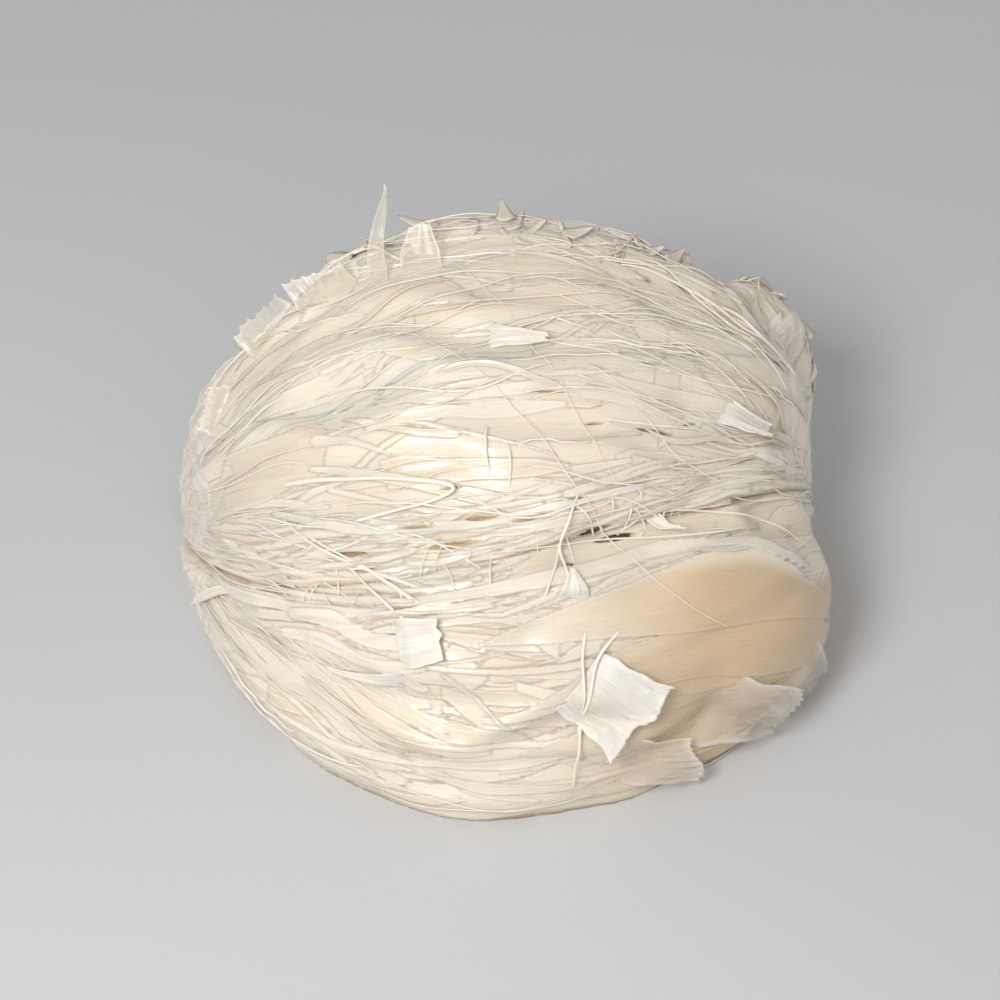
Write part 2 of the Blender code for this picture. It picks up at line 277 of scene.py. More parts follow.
# Clear film that stands off: flakes like those above
CLEAR_FLAKES = (
    (1.19, 87.0, 9.5, 3.4, 62, 48, 0.02, 0, 0.4),
    (1.33, 87.0, 5.2, 6.0, 80, 46, 0.50, 0, 0.3),
    (1.04, 87.0, 3.2, 9.0, 104, 40, 0.80, 3, 0.4),
    (0.86, 85.0, 2.8, 9.0, 118, 38, 0.80, 3, 0.4),
    (0.62, 76.0, 2.4, 8.0, 136, 32, 0.75, 3, 0.4),
    (2.16, 15.0, 14.0, 13.0, -24, 3, 0.75, 6, 0.5),
    (2.45, 18.0, 12.0, 11.0, -50, 3, 0.70, 5, 0.5),
    (1.92, 9.0, 10.0, 8.0, -14, 3, 0.70, 4, 0.4),
)
FLAKE_STEPS = (36, 24)
FLAKE_CORNERS = 4
FLAKE_TAPER = 1.4
FLAKE_TEAR = 0.09
FLAKE_THICKNESS = 0.00011
FLAKE_CREASES = 5
FLAKE_WAVE = 0.0002
FLAKE_LIFT = 0.0003
ROOT_TUCK = 0.0006
PLEAT_DEPTH = 0.00042
CREASE = 0.0003

# Thin strands, loose ribbons, the fringe of the lip and the web inside: where they lie, in shares of the way
# from foot to foot and in turns, and their shapes. A pair for a lean or a tone is its middle and its spread.
FOOT_MARGIN = 0.2
LIP_MARGIN = 0.01
THREAD_MIDDLES = (0.12, 0.88)
THREAD_STARTS = (0.2, 0.5)
THREAD_TURNS = (0.0, math.radians(97))
THREAD_TUCK = 0.0006
THREAD_WAVE = 0.00015
THREAD_TONE = (0.7, 0.25)
LOOSE_MIDDLES = (0.14, 0.86)
LOOSE_TURNS = (0.02, math.radians(96))
LOOSE_LEAN = (0, 0.2)
LOOSE_TUCK = 0.0007
LOOSE_PATH_HEIGHT = 0.0005
LOOSE_THICKNESS = (0.00006, 0.00011)
LOOSE_CREASE = 0.10
LOOSE_TONE = (0.65, 0.22)
FRINGE_SPAN = (0.05, 0.95)
FRINGE_ROOTS = (0.03, 0.16)
FRINGE_LIFTS = (-0.0012, 0.0004)
FRINGE_LEANS = (-0.4, 2.2)
FRINGE_BEND = (-0.10, 0.22)
FRINGE_POINTS = (0.25, 1.1)
FRINGE_FLATNESS = 0.12
FRINGE_THICKNESS = (0.00010, 0.0003)
FRINGE_TONE = (0.65, 0.2)
WEB_MIDDLES = (0.10, 0.90)
WEB_REACH = (0.15, 0.8)
WEB_LEAN = (0, 0.45)
WEB_TURNS = (0.0, 1.7)
WEB_FOOT_MARGIN = 0.06
WEB_LIFTS = (0.0, 0.0012)
WEB_TUCK = 0.0007
WEB_WIDTHS = (0.0005, 0.0016)
WEB_FLATNESS = 0.4
WEB_TONE = (0.4, 0.2)

# The body of the wall: its grooves, and how far it lies in, most of all under the sheets, less along
# the crevice and not by the cut
WALL_VOXEL = 0.0008
WALL_INSET = 0.0004
OUTER_INSET = 0.0013
OUTER_FADE_Y = 0.008
OUTER_FADE_Z = (0.001, 0.005)
CREVICE_KEPT = 0.55
CREVICE_SPREAD = 0.07
GROOVE_REACH = HALF_LENGTH * 1.08
FINE_GROOVE = 0.00014
COARSE_GROOVE = 0.00008
# Painted shade in the grooves: how far fine and coarse ones turn the wall's colour towards amber
FINE_GROOVE_SHADE = 0.25
COARSE_GROOVE_SHADE = 0.05
CUT_HEIGHT = 0.0003

# Ribbons over the lip and the foot ends, where the sheets do not reach
END_RIBBONS = 420
END_OVERLAP = 0.02
END_FEET = (0.10, 0.42)
END_BARE = 0.0010
END_FACING = -0.6
END_FRONT = -0.004
END_LENGTH = (0.005, 0.014)
END_WIDTHS = (0.0004, 0.0018)
END_LIFTS = (0.0001, 0.0006)
END_LEAN = 0.45
END_TONE = (0.55, 0.25)
END_THICKNESS = (0.00008, 0.00018)
END_FLATNESS = 0.25
END_AXIS_DEPTH = 0.004

# Lights: name, place, size, power and colour
WORLD_STRENGTH = 0.44
LIGHTS = (
    ("key", (-0.15, -0.29, 0.34), 0.15, 1.38, (1.0, 0.98, 0.95)),
    ("front", (0.05, -0.45, 0.20), 0.40, 0.08, (1.0, 0.98, 0.95)),
    ("side", (0.42, 0.05, 0.22), 0.30, 0.12, (1.0, 0.97, 0.94)),
)

LEAST_HEIGHT = 0.00012
LEAST_PATH_HEIGHT = 0.0004
SEED = 11


class Wire:
    """A socket that carries a value. Sums with it add Math nodes."""

    def __init__(self, graph, socket):
        self.graph = graph
        self.socket = socket

    def joined(self, operation, first, second):
        node = self.graph.node("ShaderNodeMath", {"operation": operation}, {0: first, 1: second})
        return Wire(self.graph, node.outputs[0])

    def __add__(self, other):
        return self.joined("ADD", self, other)

    def __radd__(self, other):
        return self.joined("ADD", other, self)

    def __sub__(self, other):
        return self.joined("SUBTRACT", self, other)

    def __rsub__(self, other):
        return self.joined("SUBTRACT", other, self)

    def __mul__(self, other):
        return self.joined("MULTIPLY", self, other)

    def __rmul__(self, other):
        return self.joined("MULTIPLY", other, self)

    def between(self, low, high):
        """0 at low, 1 at high, and smooth and held outside."""
        sockets = {"Value": self, "From Min": low, "From Max": high}
        node = self.graph.node("ShaderNodeMapRange", {"interpolation_type": "SMOOTHSTEP"}, sockets)
        return Wire(self.graph, node.outputs[0])


class Graph:
    """A material's node tree, and the few ways in which this script adds to it."""

    def __init__(self, name):
        self.material = bpy.data.materials.new(name)
        self.material.use_nodes = True
        self.tree = self.material.node_tree
        self.tree.nodes.clear()

    def node(self, kind, settings=None, sockets=None):
        """A new node: its settings are set first, and then the values or links of its sockets."""
        made = self.tree.nodes.new(kind)
        for key, value in (settings or {}).items():
            setattr(made, key, value)
        for key, value in (sockets or {}).items():
            if isinstance(value, Wire):
                value = value.socket
            if isinstance(value, bpy.types.NodeSocket):
                self.tree.links.new(value, made.inputs[key])
            else:
                made.inputs[key].default_value = value
        return made

    def value(self, name):
        """A value that the piece holds for each point."""
        node = self.node("ShaderNodeAttribute", {"attribute_name": name})
        return Wire(self, node.outputs["Fac"])

    def places(self, name=None):
        """Object coordinates, or the vectors that the piece holds for each point."""
        if name is None:
            return self.node("ShaderNodeTexCoord").outputs["Object"]
        return self.node("ShaderNodeAttribute", {"attribute_name": name}).outputs["Vector"]

    def noise(self, places, scale, detail=3.0, roughness=0.55):
        """Noise over places, which are first stretched by scale, a number for each axis."""
        stretched = self.node("ShaderNodeVectorMath", {"operation": "MULTIPLY"}, {0: places, 1: scale})
        sockets = {"Vector": stretched.outputs[0], "Scale": 1.0, "Detail": detail, "Roughness": roughness}
        return Wire(self, self.node("ShaderNodeTexNoise", None, sockets).outputs["Fac"])

    def mixed(self, share, first, second):
        """The colour at share of the way from first to second."""
        sockets = {0: share, 6: first, 7: second}
        return self.node("ShaderNodeMix", {"data_type": "RGBA", "clamp_factor": True}, sockets).outputs[2]

    def bumped(self, height, depth, strength=1.0):
        sockets = {"Height": height, "Distance": depth, "Strength": strength}
        return self.node("ShaderNodeBump", None, sockets).outputs["Normal"]

    def finished(self, sockets):
        """The material, with these values or links on its Principled shader."""
        shader = self.node("ShaderNodeBsdfPrincipled", None, sockets)
        self.node("ShaderNodeOutputMaterial", None, {"Surface": shader.outputs["BSDF"]})
        return self.material


class StrandSettings(bpy.types.PropertyGroup):
    """Sizes and colours of the strands."""

    thread: bpy.props.FloatVectorProperty(
        name="Thread",
        description="Least and greatest thickness of a thin strand",
        size=2,
        default=(0.00016, 0.00042),
        unit="LENGTH",
    )
    # White: the colour of flakes, and of the painted highlight along the edges of strands and ribbons
    white: bpy.props.FloatVectorProperty(
        name="White",
        description="Colour of dry edges and flakes",
        size=4,
        default=(0.98, 0.96, 0.90, 1),
        subtype="COLOR",
    )
    pale: bpy.props.FloatVectorProperty(
        name="Pale",
        description="Colour of the palest strands",
        size=4,
        default=(0.90, 0.83, 0.71, 1),
        subtype="COLOR",
    )
    cream: bpy.props.FloatVectorProperty(
        name="Cream",
        description="Colour of most strands",
        size=4,
        default=(0.82, 0.73, 0.58, 1),
        subtype="COLOR",
    )
    # Amber: the colour of the painted shade deep between strands and in the wall's grooves
    amber: bpy.props.FloatVectorProperty(
        name="Amber",
        description="Colour deep between strands",
        size=4,
        default=(0.60, 0.41, 0.21, 1),
        subtype="COLOR",
    )
    seed: bpy.props.IntProperty(
        name="Seed", description="Picks another lay of the strands", default=SEED, min=0
    )


class StageSettings(bpy.types.PropertyGroup):
    """The floor, the lights and the camera."""

    floor: bpy.props.FloatVectorProperty(
        name="Floor",
        description="Colour of the floor",
        size=4,
        default=(0.60, 0.61, 0.63, 1),
        subtype="COLOR",
    )
    elevation: bpy.props.FloatProperty(
        name="Elevation",
        description="How far above level the camera stands",
        default=math.radians(42),
        subtype="ANGLE",
    )
    distance: bpy.props.FloatProperty(
        name="Distance", description="From the camera to the nest", default=0.42, unit="LENGTH"
    )
    lens: bpy.props.FloatProperty(
        name="Lens", description="Focal length of the camera", default=118.0, unit="CAMERA"
    )


def smooth(share):
    share = np.clip(share, 0, 1)
    return share * share * (3 - 2 * share)


def cup_form(along, turn, wall=NO_WALL):
    """Points of the cup's smooth form: along is 0 at the left foot and pi at the right one, and turn
    is 0 at the wall in front and a quarter turn over the dome."""
    foot, front, dome = wall
    fullness = LEFT_FULLNESS + (RIGHT_FULLNESS - LEFT_FULLNESS) * smooth(along / math.pi)
    girth = np.maximum(np.sin(along), 0) ** fullness
    x = -(HALF_LENGTH - foot) * np.cos(along)
    y = POLE_Y - (CUP_DEPTH - front) * girth * np.cos(turn)
    z = (REACH - dome) * girth * np.sin(turn)
    return np.stack([x + 0 * turn, y, z], -1)


def crevice_turn(along):
    """The turn at which the crevice runs between the lower strands and the dome."""
    return CREVICE_TURN + CREVICE_RISE_PER_RADIAN * (along - math.pi / 2)


def unit(vectors):
    return vectors / np.maximum(np.linalg.norm(vectors, axis=-1, keepdims=True), 1e-12)


def lengths_over(points, axis):
    """How far each point of a grid lies along its line over axis, from the line's first point."""
    steps = np.linalg.norm(np.diff(points, axis=axis), axis=-1).cumsum(axis)
    first = np.zeros_like(np.take(steps, [0], axis))
    return np.concatenate([first, steps], axis)


def smoothed(values, passes):
    """A grid of values, each blended with its neighbours this many times."""
    for _ in range(passes):
        padded = np.pad(values, 1, mode="edge")
        rows = (padded[:-2] + 2 * padded[1:-1] + padded[2:]) / 4
        values = (rows[:, :-2] + 2 * rows[:, 1:-1] + rows[:, 2:]) / 4
    return values


def solid_tree():
    """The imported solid, ready for rays."""
    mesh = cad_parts[NODE].data
    points, faces = [v.co for v in mesh.vertices], [p.vertices for p in mesh.polygons]
    return BVHTree.FromPolygons(points, faces, epsilon=1e-6)


class Skin:
    """The outer or the inner skin of the nest, read off its solid. It gives a place for each along
    and turn."""

    def __init__(self, tree, inside):
        along = np.linspace(*SKIN_ALONG, SKIN_STEPS[0])
        turn = np.linspace(*SKIN_TURN, SKIN_STEPS[1])
        form = cup_form(*np.meshgrid(along, turn, indexing="ij"), WALL if inside else NO_WALL)
        outward = self.outward_of(form)
        facing = -outward if inside else outward
        heights = self.heights_of(tree, form, facing)
        self.along = along
        self.lip = self.evened(turn[self.last_met(heights)])
        heights = smoothed(self.without_dips(self.without_leaks(self.filled(heights))), SKIN_BLURS)
        self.points = form + facing * heights[..., None]
        outward = self.outward_of(self.points)
        self.normals = -outward if inside else outward

    @staticmethod
    def outward_of(points):
        over, sweep = np.gradient(points, axis=1), np.gradient(points, axis=0)
        return unit(np.cross(sweep, over))

    @staticmethod
    def heights_of(tree, form, facing):
        """How far the solid stands off the form, along the direction that each point faces."""
        heights = np.full(form.shape[:2], np.nan)
        for index in np.ndindex(*heights.shape):
            start = Vector(form[index] + facing[index] * RAY_START)
            hit = tree.ray_cast(start, Vector(-facing[index]), RAY_START + RAY_REACH)
            if hit[0] is not None:
                heights[index] = RAY_START - hit[3]
        return heights

    @staticmethod
    def last_met(heights):
        """For each along, the last turn at which a ray met the solid."""
        met = ~np.isnan(heights)
        return heights.shape[1] - 1 - np.argmax(met[:, ::-1], axis=1)

    @staticmethod
    def evened(lip):
        """The turns of the lip, without steps from one to the next."""
        window = np.ones(2 * LIP_BLUR + 1) / (2 * LIP_BLUR + 1)
        return np.convolve(np.pad(lip, LIP_BLUR, mode="edge"), window, "valid")

    @staticmethod
    def filled(heights):
        """heights with each missing one taken from the turn before it."""
        heights = heights.copy()
        heights[np.isnan(heights[:, 0]), 0] = 0.0
        for j in range(1, heights.shape[1]):
            missing = np.isnan(heights[:, j])
            heights[missing, j] = heights[missing, j - 1]
        return heights

    @staticmethod
    def without_leaks(heights):
        """heights with each one that stands far from its neighbours' middle set to it: a ray slipped
        through there."""
        padded = np.pad(heights, LEAK_WINDOW // 2, mode="edge")
        windows = np.lib.stride_tricks.sliding_window_view(padded, (LEAK_WINDOW, LEAK_WINDOW))
        middle = np.median(windows, axis=(2, 3))
        return np.where(abs(heights - middle) > LEAK, middle, heights)

    @staticmethod
    def without_dips(heights):
        """heights with narrow deep dips made shallow."""
        return np.maximum(heights, smoothed(heights, DIP_BLURS) - DIP)

    def lip_at(self, along):
        return np.interp(along, self.along, self.lip)

    def place(self, along, turn, lift):
        """Places on the skin, each lifted off it, and the directions that they face."""
        rows, columns = SKIN_STEPS
        i = np.clip((along - SKIN_ALONG[0]) / (SKIN_ALONG[1] - SKIN_ALONG[0]), 0, 1) * (rows - 1)
        j = np.clip((turn - SKIN_TURN[0]) / (SKIN_TURN[1] - SKIN_TURN[0]), 0, 1) * (columns - 1)
        i0, j0 = np.minimum(i.astype(int), rows - 2), np.minimum(j.astype(int), columns - 2)
        di, dj = (i - i0)[..., None], (j - j0)[..., None]

        def read(grid):
            left = grid[i0, j0] * (1 - dj) + grid[i0, j0 + 1] * dj
            right = grid[i0 + 1, j0] * (1 - dj) + grid[i0 + 1, j0 + 1] * dj
            return left * (1 - di) + right * di

        normals = unit(read(self.normals))
        return read(self.points) + normals * lift[..., None], normals


class Sheet:
    """A stretch of the outer skin on which ribbons and film are laid one over another, as wet ones
    set. It holds its height over the skin for each point, and what the finish needs: tone, edge, which
    carries a painted highlight, painted shade and flow."""

    def __init__(self, skin, low, high, columns):
        rows = SHEET_ROWS
        self.skin = skin
        self.along = np.linspace(*SKIN_ALONG, rows)
        share = np.linspace(0, 1, columns)
        self.low, self.high = low(self.along), high(self.along)
        self.turn = self.low[:, None] * (1 - share) + self.high[:, None] * share
        self.far = np.broadcast_to(self.along[:, None], self.turn.shape)
        points, _ = skin.place(self.far, self.turn, np.zeros(self.turn.shape))
        self.across = lengths_over(points, 1)
        self.forward = lengths_over(points, 0)
        self.height = np.zeros(self.turn.shape)
        self.tone = np.full(self.turn.shape, 0.5)
        self.edge = np.zeros(self.turn.shape)
        # Painted shade, 0 to 1, that deepens the colour towards amber: beside ribbon edges, in gaps and on
        # the rolled lobe
        self.painted_shade = np.zeros(self.turn.shape)
        self.flow = np.stack([self.forward, self.across, np.zeros(self.turn.shape)], -1)

    def across_at(self, rows, turn):
        """How far over the sheet each turn lies, in metres from its low edge."""
        last = self.turn.shape[1] - 1
        place = (turn - self.low[rows]) / (self.high[rows] - self.low[rows]) * last
        before = np.clip(place.astype(int), 0, last - 1)
        here, after = (self.across[np.arange(rows.start, rows.stop), before + step] for step in (0, 1))
        return here + (place - before) * (after - here)

    def window(self, span, turn_at, half_at):
        """The rows and columns that a ribbon covers, how far each point lies from its middle line,
        its half width there and the share of its length."""
        first, last = np.searchsorted(self.along, span)
        if last - first < 4:
            return None
        rows = slice(first, last)
        share = (self.along[rows] - span[0]) / (span[1] - span[0])
        away = self.across[rows] - self.across_at(rows, turn_at(self.along[rows]))[:, None]
        half = half_at(share)[:, None]
        columns = np.flatnonzero((np.abs(away) < half + CONTACT_SHADE_REACH).any(0))
        if len(columns) < 2:
            return None
        columns = slice(columns[0], columns[-1] + 1)
        return (rows, columns), away[:, columns], half, share

    def lay(self, span, turn_at, half_at, thickness, tone, seed, drape):
        """Lays a ribbon that runs from foot to foot, between two places along."""
        found = self.window(span, turn_at, half_at)
        if found is not None:
            place, away, half, _ = found
            flow = self.forward[place]
            self.cover(place, away, half, flow, thickness, tone, seed, drape, EDGE_SOFTNESS)

    def lay_across(self, span, along_at, half_at, thickness, tone, seed, drape):
        """Lays a ribbon that runs over the sheet, between two turns."""
        middle_row = np.searchsorted(self.along, along_at(sum(span) / 2))
        turn = self.turn[min(middle_row, SHEET_ROWS - 1)]
        first, last = np.searchsorted(turn, span)
        if last - first < 4:
            return
        columns = slice(first, last)
        row = np.interp(along_at(turn[columns]), self.along, np.arange(SHEET_ROWS))
        before = np.minimum(row.astype(int), SHEET_ROWS - 2)
        here, after = (self.forward[before + step, np.arange(first, last)] for step in (0, 1))
        away = self.forward[:, columns] - (here + (row - before) * (after - here))
        half = half_at((turn[columns] - span[0]) / (span[1] - span[0]))[None]
        rows = np.flatnonzero((np.abs(away) < half + CONTACT_SHADE_REACH).any(1))
        rows = slice(rows[0], rows[-1] + 1)
        place, flow = (rows, columns), self.across[rows, columns]
        self.cover(place, away[rows], half, flow, thickness, tone, seed, drape, ACROSS_SOFTNESS)

    def cover(self, place, away, half, length, thickness, tone, seed, drape, softness):
        """Raises what lies in place by a ribbon. With drape it is flat, bridges hollows as smoothly
        as drape says and has raised edges. Without, it is round on top. It paints a highlight white along
        its rim and a line of shade on what lies just beside its edge."""
        mask = smooth((half - np.abs(away)) / softness + 0.5)
        inward = np.maximum(half - np.abs(away), 0)
        rim = np.exp(-((inward / max(RIM_WIDTH, softness)) ** 2))
        if drape:
            body = thickness * (1 + RIM_RISE * rim)
        else:
            body = thickness * np.sqrt(np.clip(1 - (away / np.maximum(half, 1e-9)) ** 2, 0, 1))
        below = self.height[place]
        under = smoothed(below, drape or ROUND_DRAPE)
        top = np.maximum(under, under * SAG + below * (1 - SAG)) + body
        self.height[place] = below * (1 - mask) + top * mask
        # Painted shade: a dark line on what lies just beside the ribbon's edge
        outside = np.maximum(np.abs(away) - half, 0) / CONTACT_SHADE_WIDTH
        show = CONTACT_SHADE[0] + (CONTACT_SHADE[1] - CONTACT_SHADE[0]) * (seed % 1)
        painted_shade = show * np.exp(-(outside**2)) * (half > RIM_WIDTH)
        self.painted_shade[place] = np.maximum(self.painted_shade[place], painted_shade) * (1 - mask)
        self.tone[place] = self.tone[place] * (1 - mask) + tone * mask
        # Painted highlight: the rim is whitened, more on flat ribbons than on round ones
        self.edge[place] = self.edge[place] * (1 - mask) + rim * mask * (RIM_HIGHLIGHT if drape else ROUND_HIGHLIGHT)
        flow = np.stack([length, away, np.full(away.shape, seed)], -1)
        self.flow[place] = np.where(mask[..., None] > 0.5, flow, self.flow[place])

    def part(self, span, turn_at, half_at, depth):
        """Parts the ribbons in a narrow gap, and paints amber shade in it."""
        found = self.window(span, turn_at, half_at)
        if found is None:
            return
        place, away, half, share = found
        mask = smooth((half - np.abs(away)) / GAP_SOFTNESS + 0.5) * np.sin(math.pi * share)[:, None] ** 0.5
        self.height[place] -= depth * mask
        self.edge[place] *= 1 - mask
        # Painted shade: amber in the gap
        self.painted_shade[place] = np.maximum(self.painted_shade[place], mask)

    def dive(self):
        """How far each point has gone down to the sheet's edge, 0 to 1, but for an edge on the wall cut."""
        from_low, from_high = self.across, self.across[:, -1:] - self.across
        off_cut = self.low[:, None] > LEAST_EDGE_TURN
        dive = np.exp(-((from_high / SHEET_EDGE) ** 2))
        dive = dive + np.where(off_cut, np.exp(-((from_low / SHEET_EDGE) ** 2)), 0)
        return np.minimum(dive, 1)

    def rings(self, first, last):
        """Its outer face between two columns, as rings of a closed tube whose back runs inside the
        wall. Its edges dive into the wall, but not one on the wall cut. Where it is split, it runs
        on a little under its neighbour."""
        height = self.height - self.height.mean()
        height = np.clip(height, *SHEET_HEIGHTS) + SHEET_LIFT
        dive = self.dive()
        height = height * (1 - dive) - SHEET_EDGE_DIVE * dive
        start, stop, column = self.shown(first, last)
        before, after = np.maximum(first - column, 0), np.maximum(column - last + 1, 0)
        beyond = before * (start > 0) + after * (stop < self.turn.shape[1])
        height = height[:, start:stop] - SPLIT_TUCK * beyond**2
        turn = self.turn[:, start:stop]
        points, _ = self.skin.place(self.far[:, start:stop], turn, height)
        back = np.linspace(0, 1, SHEET_BACK_STEPS + 2)[1:-1]
        turn = turn[:, :1] * (1 - back) + turn[:, -1:] * back
        far = np.broadcast_to(self.along[:, None], turn.shape)
        behind, _ = self.skin.place(far, turn, np.full(turn.shape, SHEET_BACK))
        return held_above_cut(np.concatenate([points[:, ::-1], behind], 1))[None]

    def shown(self, first, last):
        """The columns from first to last, with those that lie under a neighbour."""
        start = max(first - SPLIT_OVERLAP, 0)
        stop = min(last + SPLIT_OVERLAP, self.turn.shape[1])
        return start, stop, np.arange(start, stop)

    def depths(self):
        """How much painted shade each point gets, 0 to 1: more the deeper it lies between its
        neighbours, and more beside ribbon edges, in gaps, on the rolled lobe and where the sheet dives to its
        edge.
        """
        below = smoothed(self.height, DEEP_BLURS) - self.height
        deep = np.maximum(smooth((below - DEEP[0]) / (DEEP[1] - DEEP[0])), self.painted_shade)
        return np.maximum(deep, DIVE_SHADE * self.dive())

    def held(self, first, last):
        """What the rings between two columns hold for each point."""
        start, stop, _ = self.shown(first, last)

        def ringed(values, behind):
            back = np.full((len(values), SHEET_BACK_STEPS, *values.shape[2:]), behind)
            return np.concatenate([values[:, start:stop][:, ::-1], back], 1)[None]

        return {
            "tone": ringed(self.tone, 0.5),
            "edge": ringed(self.edge, 0.0),
            "deep": ringed(self.depths(), 0.5),
            "flow": ringed(self.flow, 0.0),
        }


def wave_field(seed, waves, terms=6):
    """A smooth random field over two coordinates, mostly between -1 and 1."""
    rng = np.random.default_rng(seed)
    steps = rng.normal(0, waves, (terms, 2))
    phases = rng.uniform(0, 2 * math.pi, terms)

    def field(x, y):
        total = 0
        for (step_x, step_y), phase in zip(steps, phases):
            total = total + np.sin(step_x * x + step_y * y + phase)
        return total / math.sqrt(terms)

    return field


FLOW = wave_field(SEED + 1, FLOW_WAVES)


def swing(along, turn):
    """How far a strand that starts level at a turn wanders up and down as it runs from foot to foot."""
    return FLOW(along, 2.2 * turn) * FLOW_SWING


def ripple(rng, count, share, waves):
    """A sine of random phase for each of count strands, over the shares of its length."""
    number = rng.uniform(*waves, (count, 1))
    return np.sin(2 * math.pi * (number * share + rng.uniform(0, 1, (count, 1))))


def tapers(share, bluntness, ends=0.0):
    """Shares of the full width from end to end of a strand, with the share that its ends keep."""
    return ends + (1 - ends) * np.maximum(np.sin(math.pi * share), 0) ** bluntness


def torn(rng, corners, blunt):
    """A function from the share of a ribbon's length to that of its width: straight edges between
    corners, and ends as blunt as given."""
    places = np.sort(np.concatenate([[0, 1], rng.uniform(0.04, 0.96, corners)]))
    values = rng.uniform(0.6, 1.0, corners + 2)
    values[[0, -1]] = blunt * rng.uniform(0, 1, 2)
    return lambda share: np.interp(share, places, values)


def kinked(rng, start, end, corners, swing):
    """A function that swings to both sides of nought between start and end, in straight runs."""
    places = np.linspace(start, end, corners + 2)
    values = rng.uniform(-swing, swing, corners + 2)
    return lambda at: np.interp(at, places, values)


def round_profile(sides):
    """Places around a strand's section, in shares of its half width and half thickness."""
    angle = 2 * math.pi * np.arange(sides) / sides
    return np.cos(angle), np.sin(angle)


def flat_profile(across):
    """Places around a film's section, with across places from edge to edge on each face."""
    over = np.linspace(1, -1, across)
    u = np.concatenate([over, -over[1:-1]])
    thick = np.sqrt(np.maximum(1 - u**4, 0))
    return u, np.concatenate([thick[:across], -thick[across:]])


def strand_rings(path, normals, width, thickness, twist, profile):
    """The rings of points around each strand."""
    u, v = profile
    forward = unit(np.gradient(path, axis=1))
    side = unit(np.cross(normals, forward))
    up = unit(np.cross(forward, side))
    turned_side = side * np.cos(twist)[..., None] + up * np.sin(twist)[..., None]
    turned_up = up * np.cos(twist)[..., None] - side * np.sin(twist)[..., None]
    across = turned_side[:, :, None] * (width[..., None] / 2 * u)[..., None]
    outward = turned_up[:, :, None] * (thickness[..., None] / 2 * v)[..., None]
    return path[:, :, None] + across + outward


def held_above_cut(points, least=LEAST_HEIGHT):
    """points with none lower than least over the wall cut."""
    points = points.copy()
    points[..., 2] = np.maximum(points[..., 2], least)
    return points


def strand_values(rings, tones, seeds, edges=0.0):
    """What plain strands hold for each point: flow is metres along, metres around and a seed."""
    shape = rings.shape[:3]
    length = lengths_over(rings.mean(2), 1)
    girth = np.linalg.norm(rings - np.roll(rings, 1, 2), axis=-1).mean(1).cumsum(1)
    flow = np.stack(
        [
            np.broadcast_to(length[..., None], shape),
            np.broadcast_to(girth[:, None], shape),
            np.broadcast_to(seeds[:, None, None], shape),
        ],
        -1,
    )
    return {
        "tone": np.broadcast_to(tones[:, None, None], shape),
        "edge": np.broadcast_to(edges, shape),
        "deep": np.zeros(shape),
        "flow": flow,
    }


def strand_mesh(name, rings, values):
    """One mesh of closed strands. rings is strands by steps by sides by 3, and the first and the
    last ring of each strand close to a point. values are held for each point, by name."""
    count, steps, sides = rings.shape[:3]

    def each_point(grid):
        """grid's values for the points of every strand in turn: its first tip, its rings and its last tip."""
        grid = grid.reshape(count, steps, sides, -1)
        tips = grid[:, [0, -1]].mean(2)
        return np.concatenate([tips[:, :1], grid[:, 1:-1].reshape(count, -1, grid.shape[-1]), tips[:, 1:]], 1)

    points = each_point(rings)
    corners, sizes, cells = strand_faces(steps - 2, sides)
    offsets = (np.arange(count) * points.shape[1])[:, None]
    mesh = mesh_of(name, points.reshape(-1, 3), (corners[None] + offsets).ravel(), np.tile(sizes, count))
    for key, grid in values.items():
        hold(mesh, key, each_point(np.array(grid)))
    lay_bake_map(mesh, count, cells)
    return mesh


def strand_faces(rings, sides):
    """One strand's faces, as corner numbers, corner counts and places of the corners on its own small map."""
    corners, sizes, cells = [], [], []
    last = 1 + rings * sides
    end = last - sides
    ahead_of_start, before_end = 1 / (rings + 1), rings / (rings + 1)
    for m in range(sides):
        after = (m + 1) % sides
        around, around_after = m / sides, (m + 1) / sides
        between = (around + around_after) / 2
        corners += [0, 1 + m, 1 + after]
        cells += [(0.0, between), (ahead_of_start, around), (ahead_of_start, around_after)]
        sizes.append(3)
        for k in range(rings - 1):
            here, ahead = 1 + k * sides, 1 + (k + 1) * sides
            corners += [here + m, ahead + m, ahead + after, here + after]
            along, along_ahead = (k + 1) / (rings + 1), (k + 2) / (rings + 1)
            cells += [(along, around), (along_ahead, around)]
            cells += [(along_ahead, around_after), (along, around_after)]
            sizes.append(4)
        corners += [end + m, last, end + after]
        cells += [(before_end, around), (1.0, between), (before_end, around_after)]
        sizes.append(3)
    return np.array(corners), np.array(sizes), np.array(cells)


def mesh_of(name, points, corners, sizes):
    """A mesh from its points, the point of each corner and the corners of each face."""
    mesh = bpy.data.meshes.new(name)
    mesh.vertices.add(len(points))
    mesh.vertices.foreach_set("co", np.ascontiguousarray(points, np.float32).ravel())
    mesh.loops.add(len(corners))
    mesh.loops.foreach_set("vertex_index", corners.astype(np.int32))
    mesh.polygons.add(len(sizes))
    starts = np.concatenate([[0], np.cumsum(sizes)[:-1]])
    mesh.polygons.foreach_set("loop_start", starts.astype(np.int32))
    mesh.update(calc_edges=True)
    mesh.shade_smooth()
    return mesh


def hold(mesh, name, values):
    """Makes mesh hold values for its points, one or three for each."""
    values = np.ascontiguousarray(values, np.float32).reshape(len(mesh.vertices), -1)
    wide = values.shape[1] == 3
    attribute = mesh.attributes.new(name, "FLOAT_VECTOR" if wide else "FLOAT", "POINT")
    attribute.data.foreach_set("vector" if wide else "value", values.ravel())


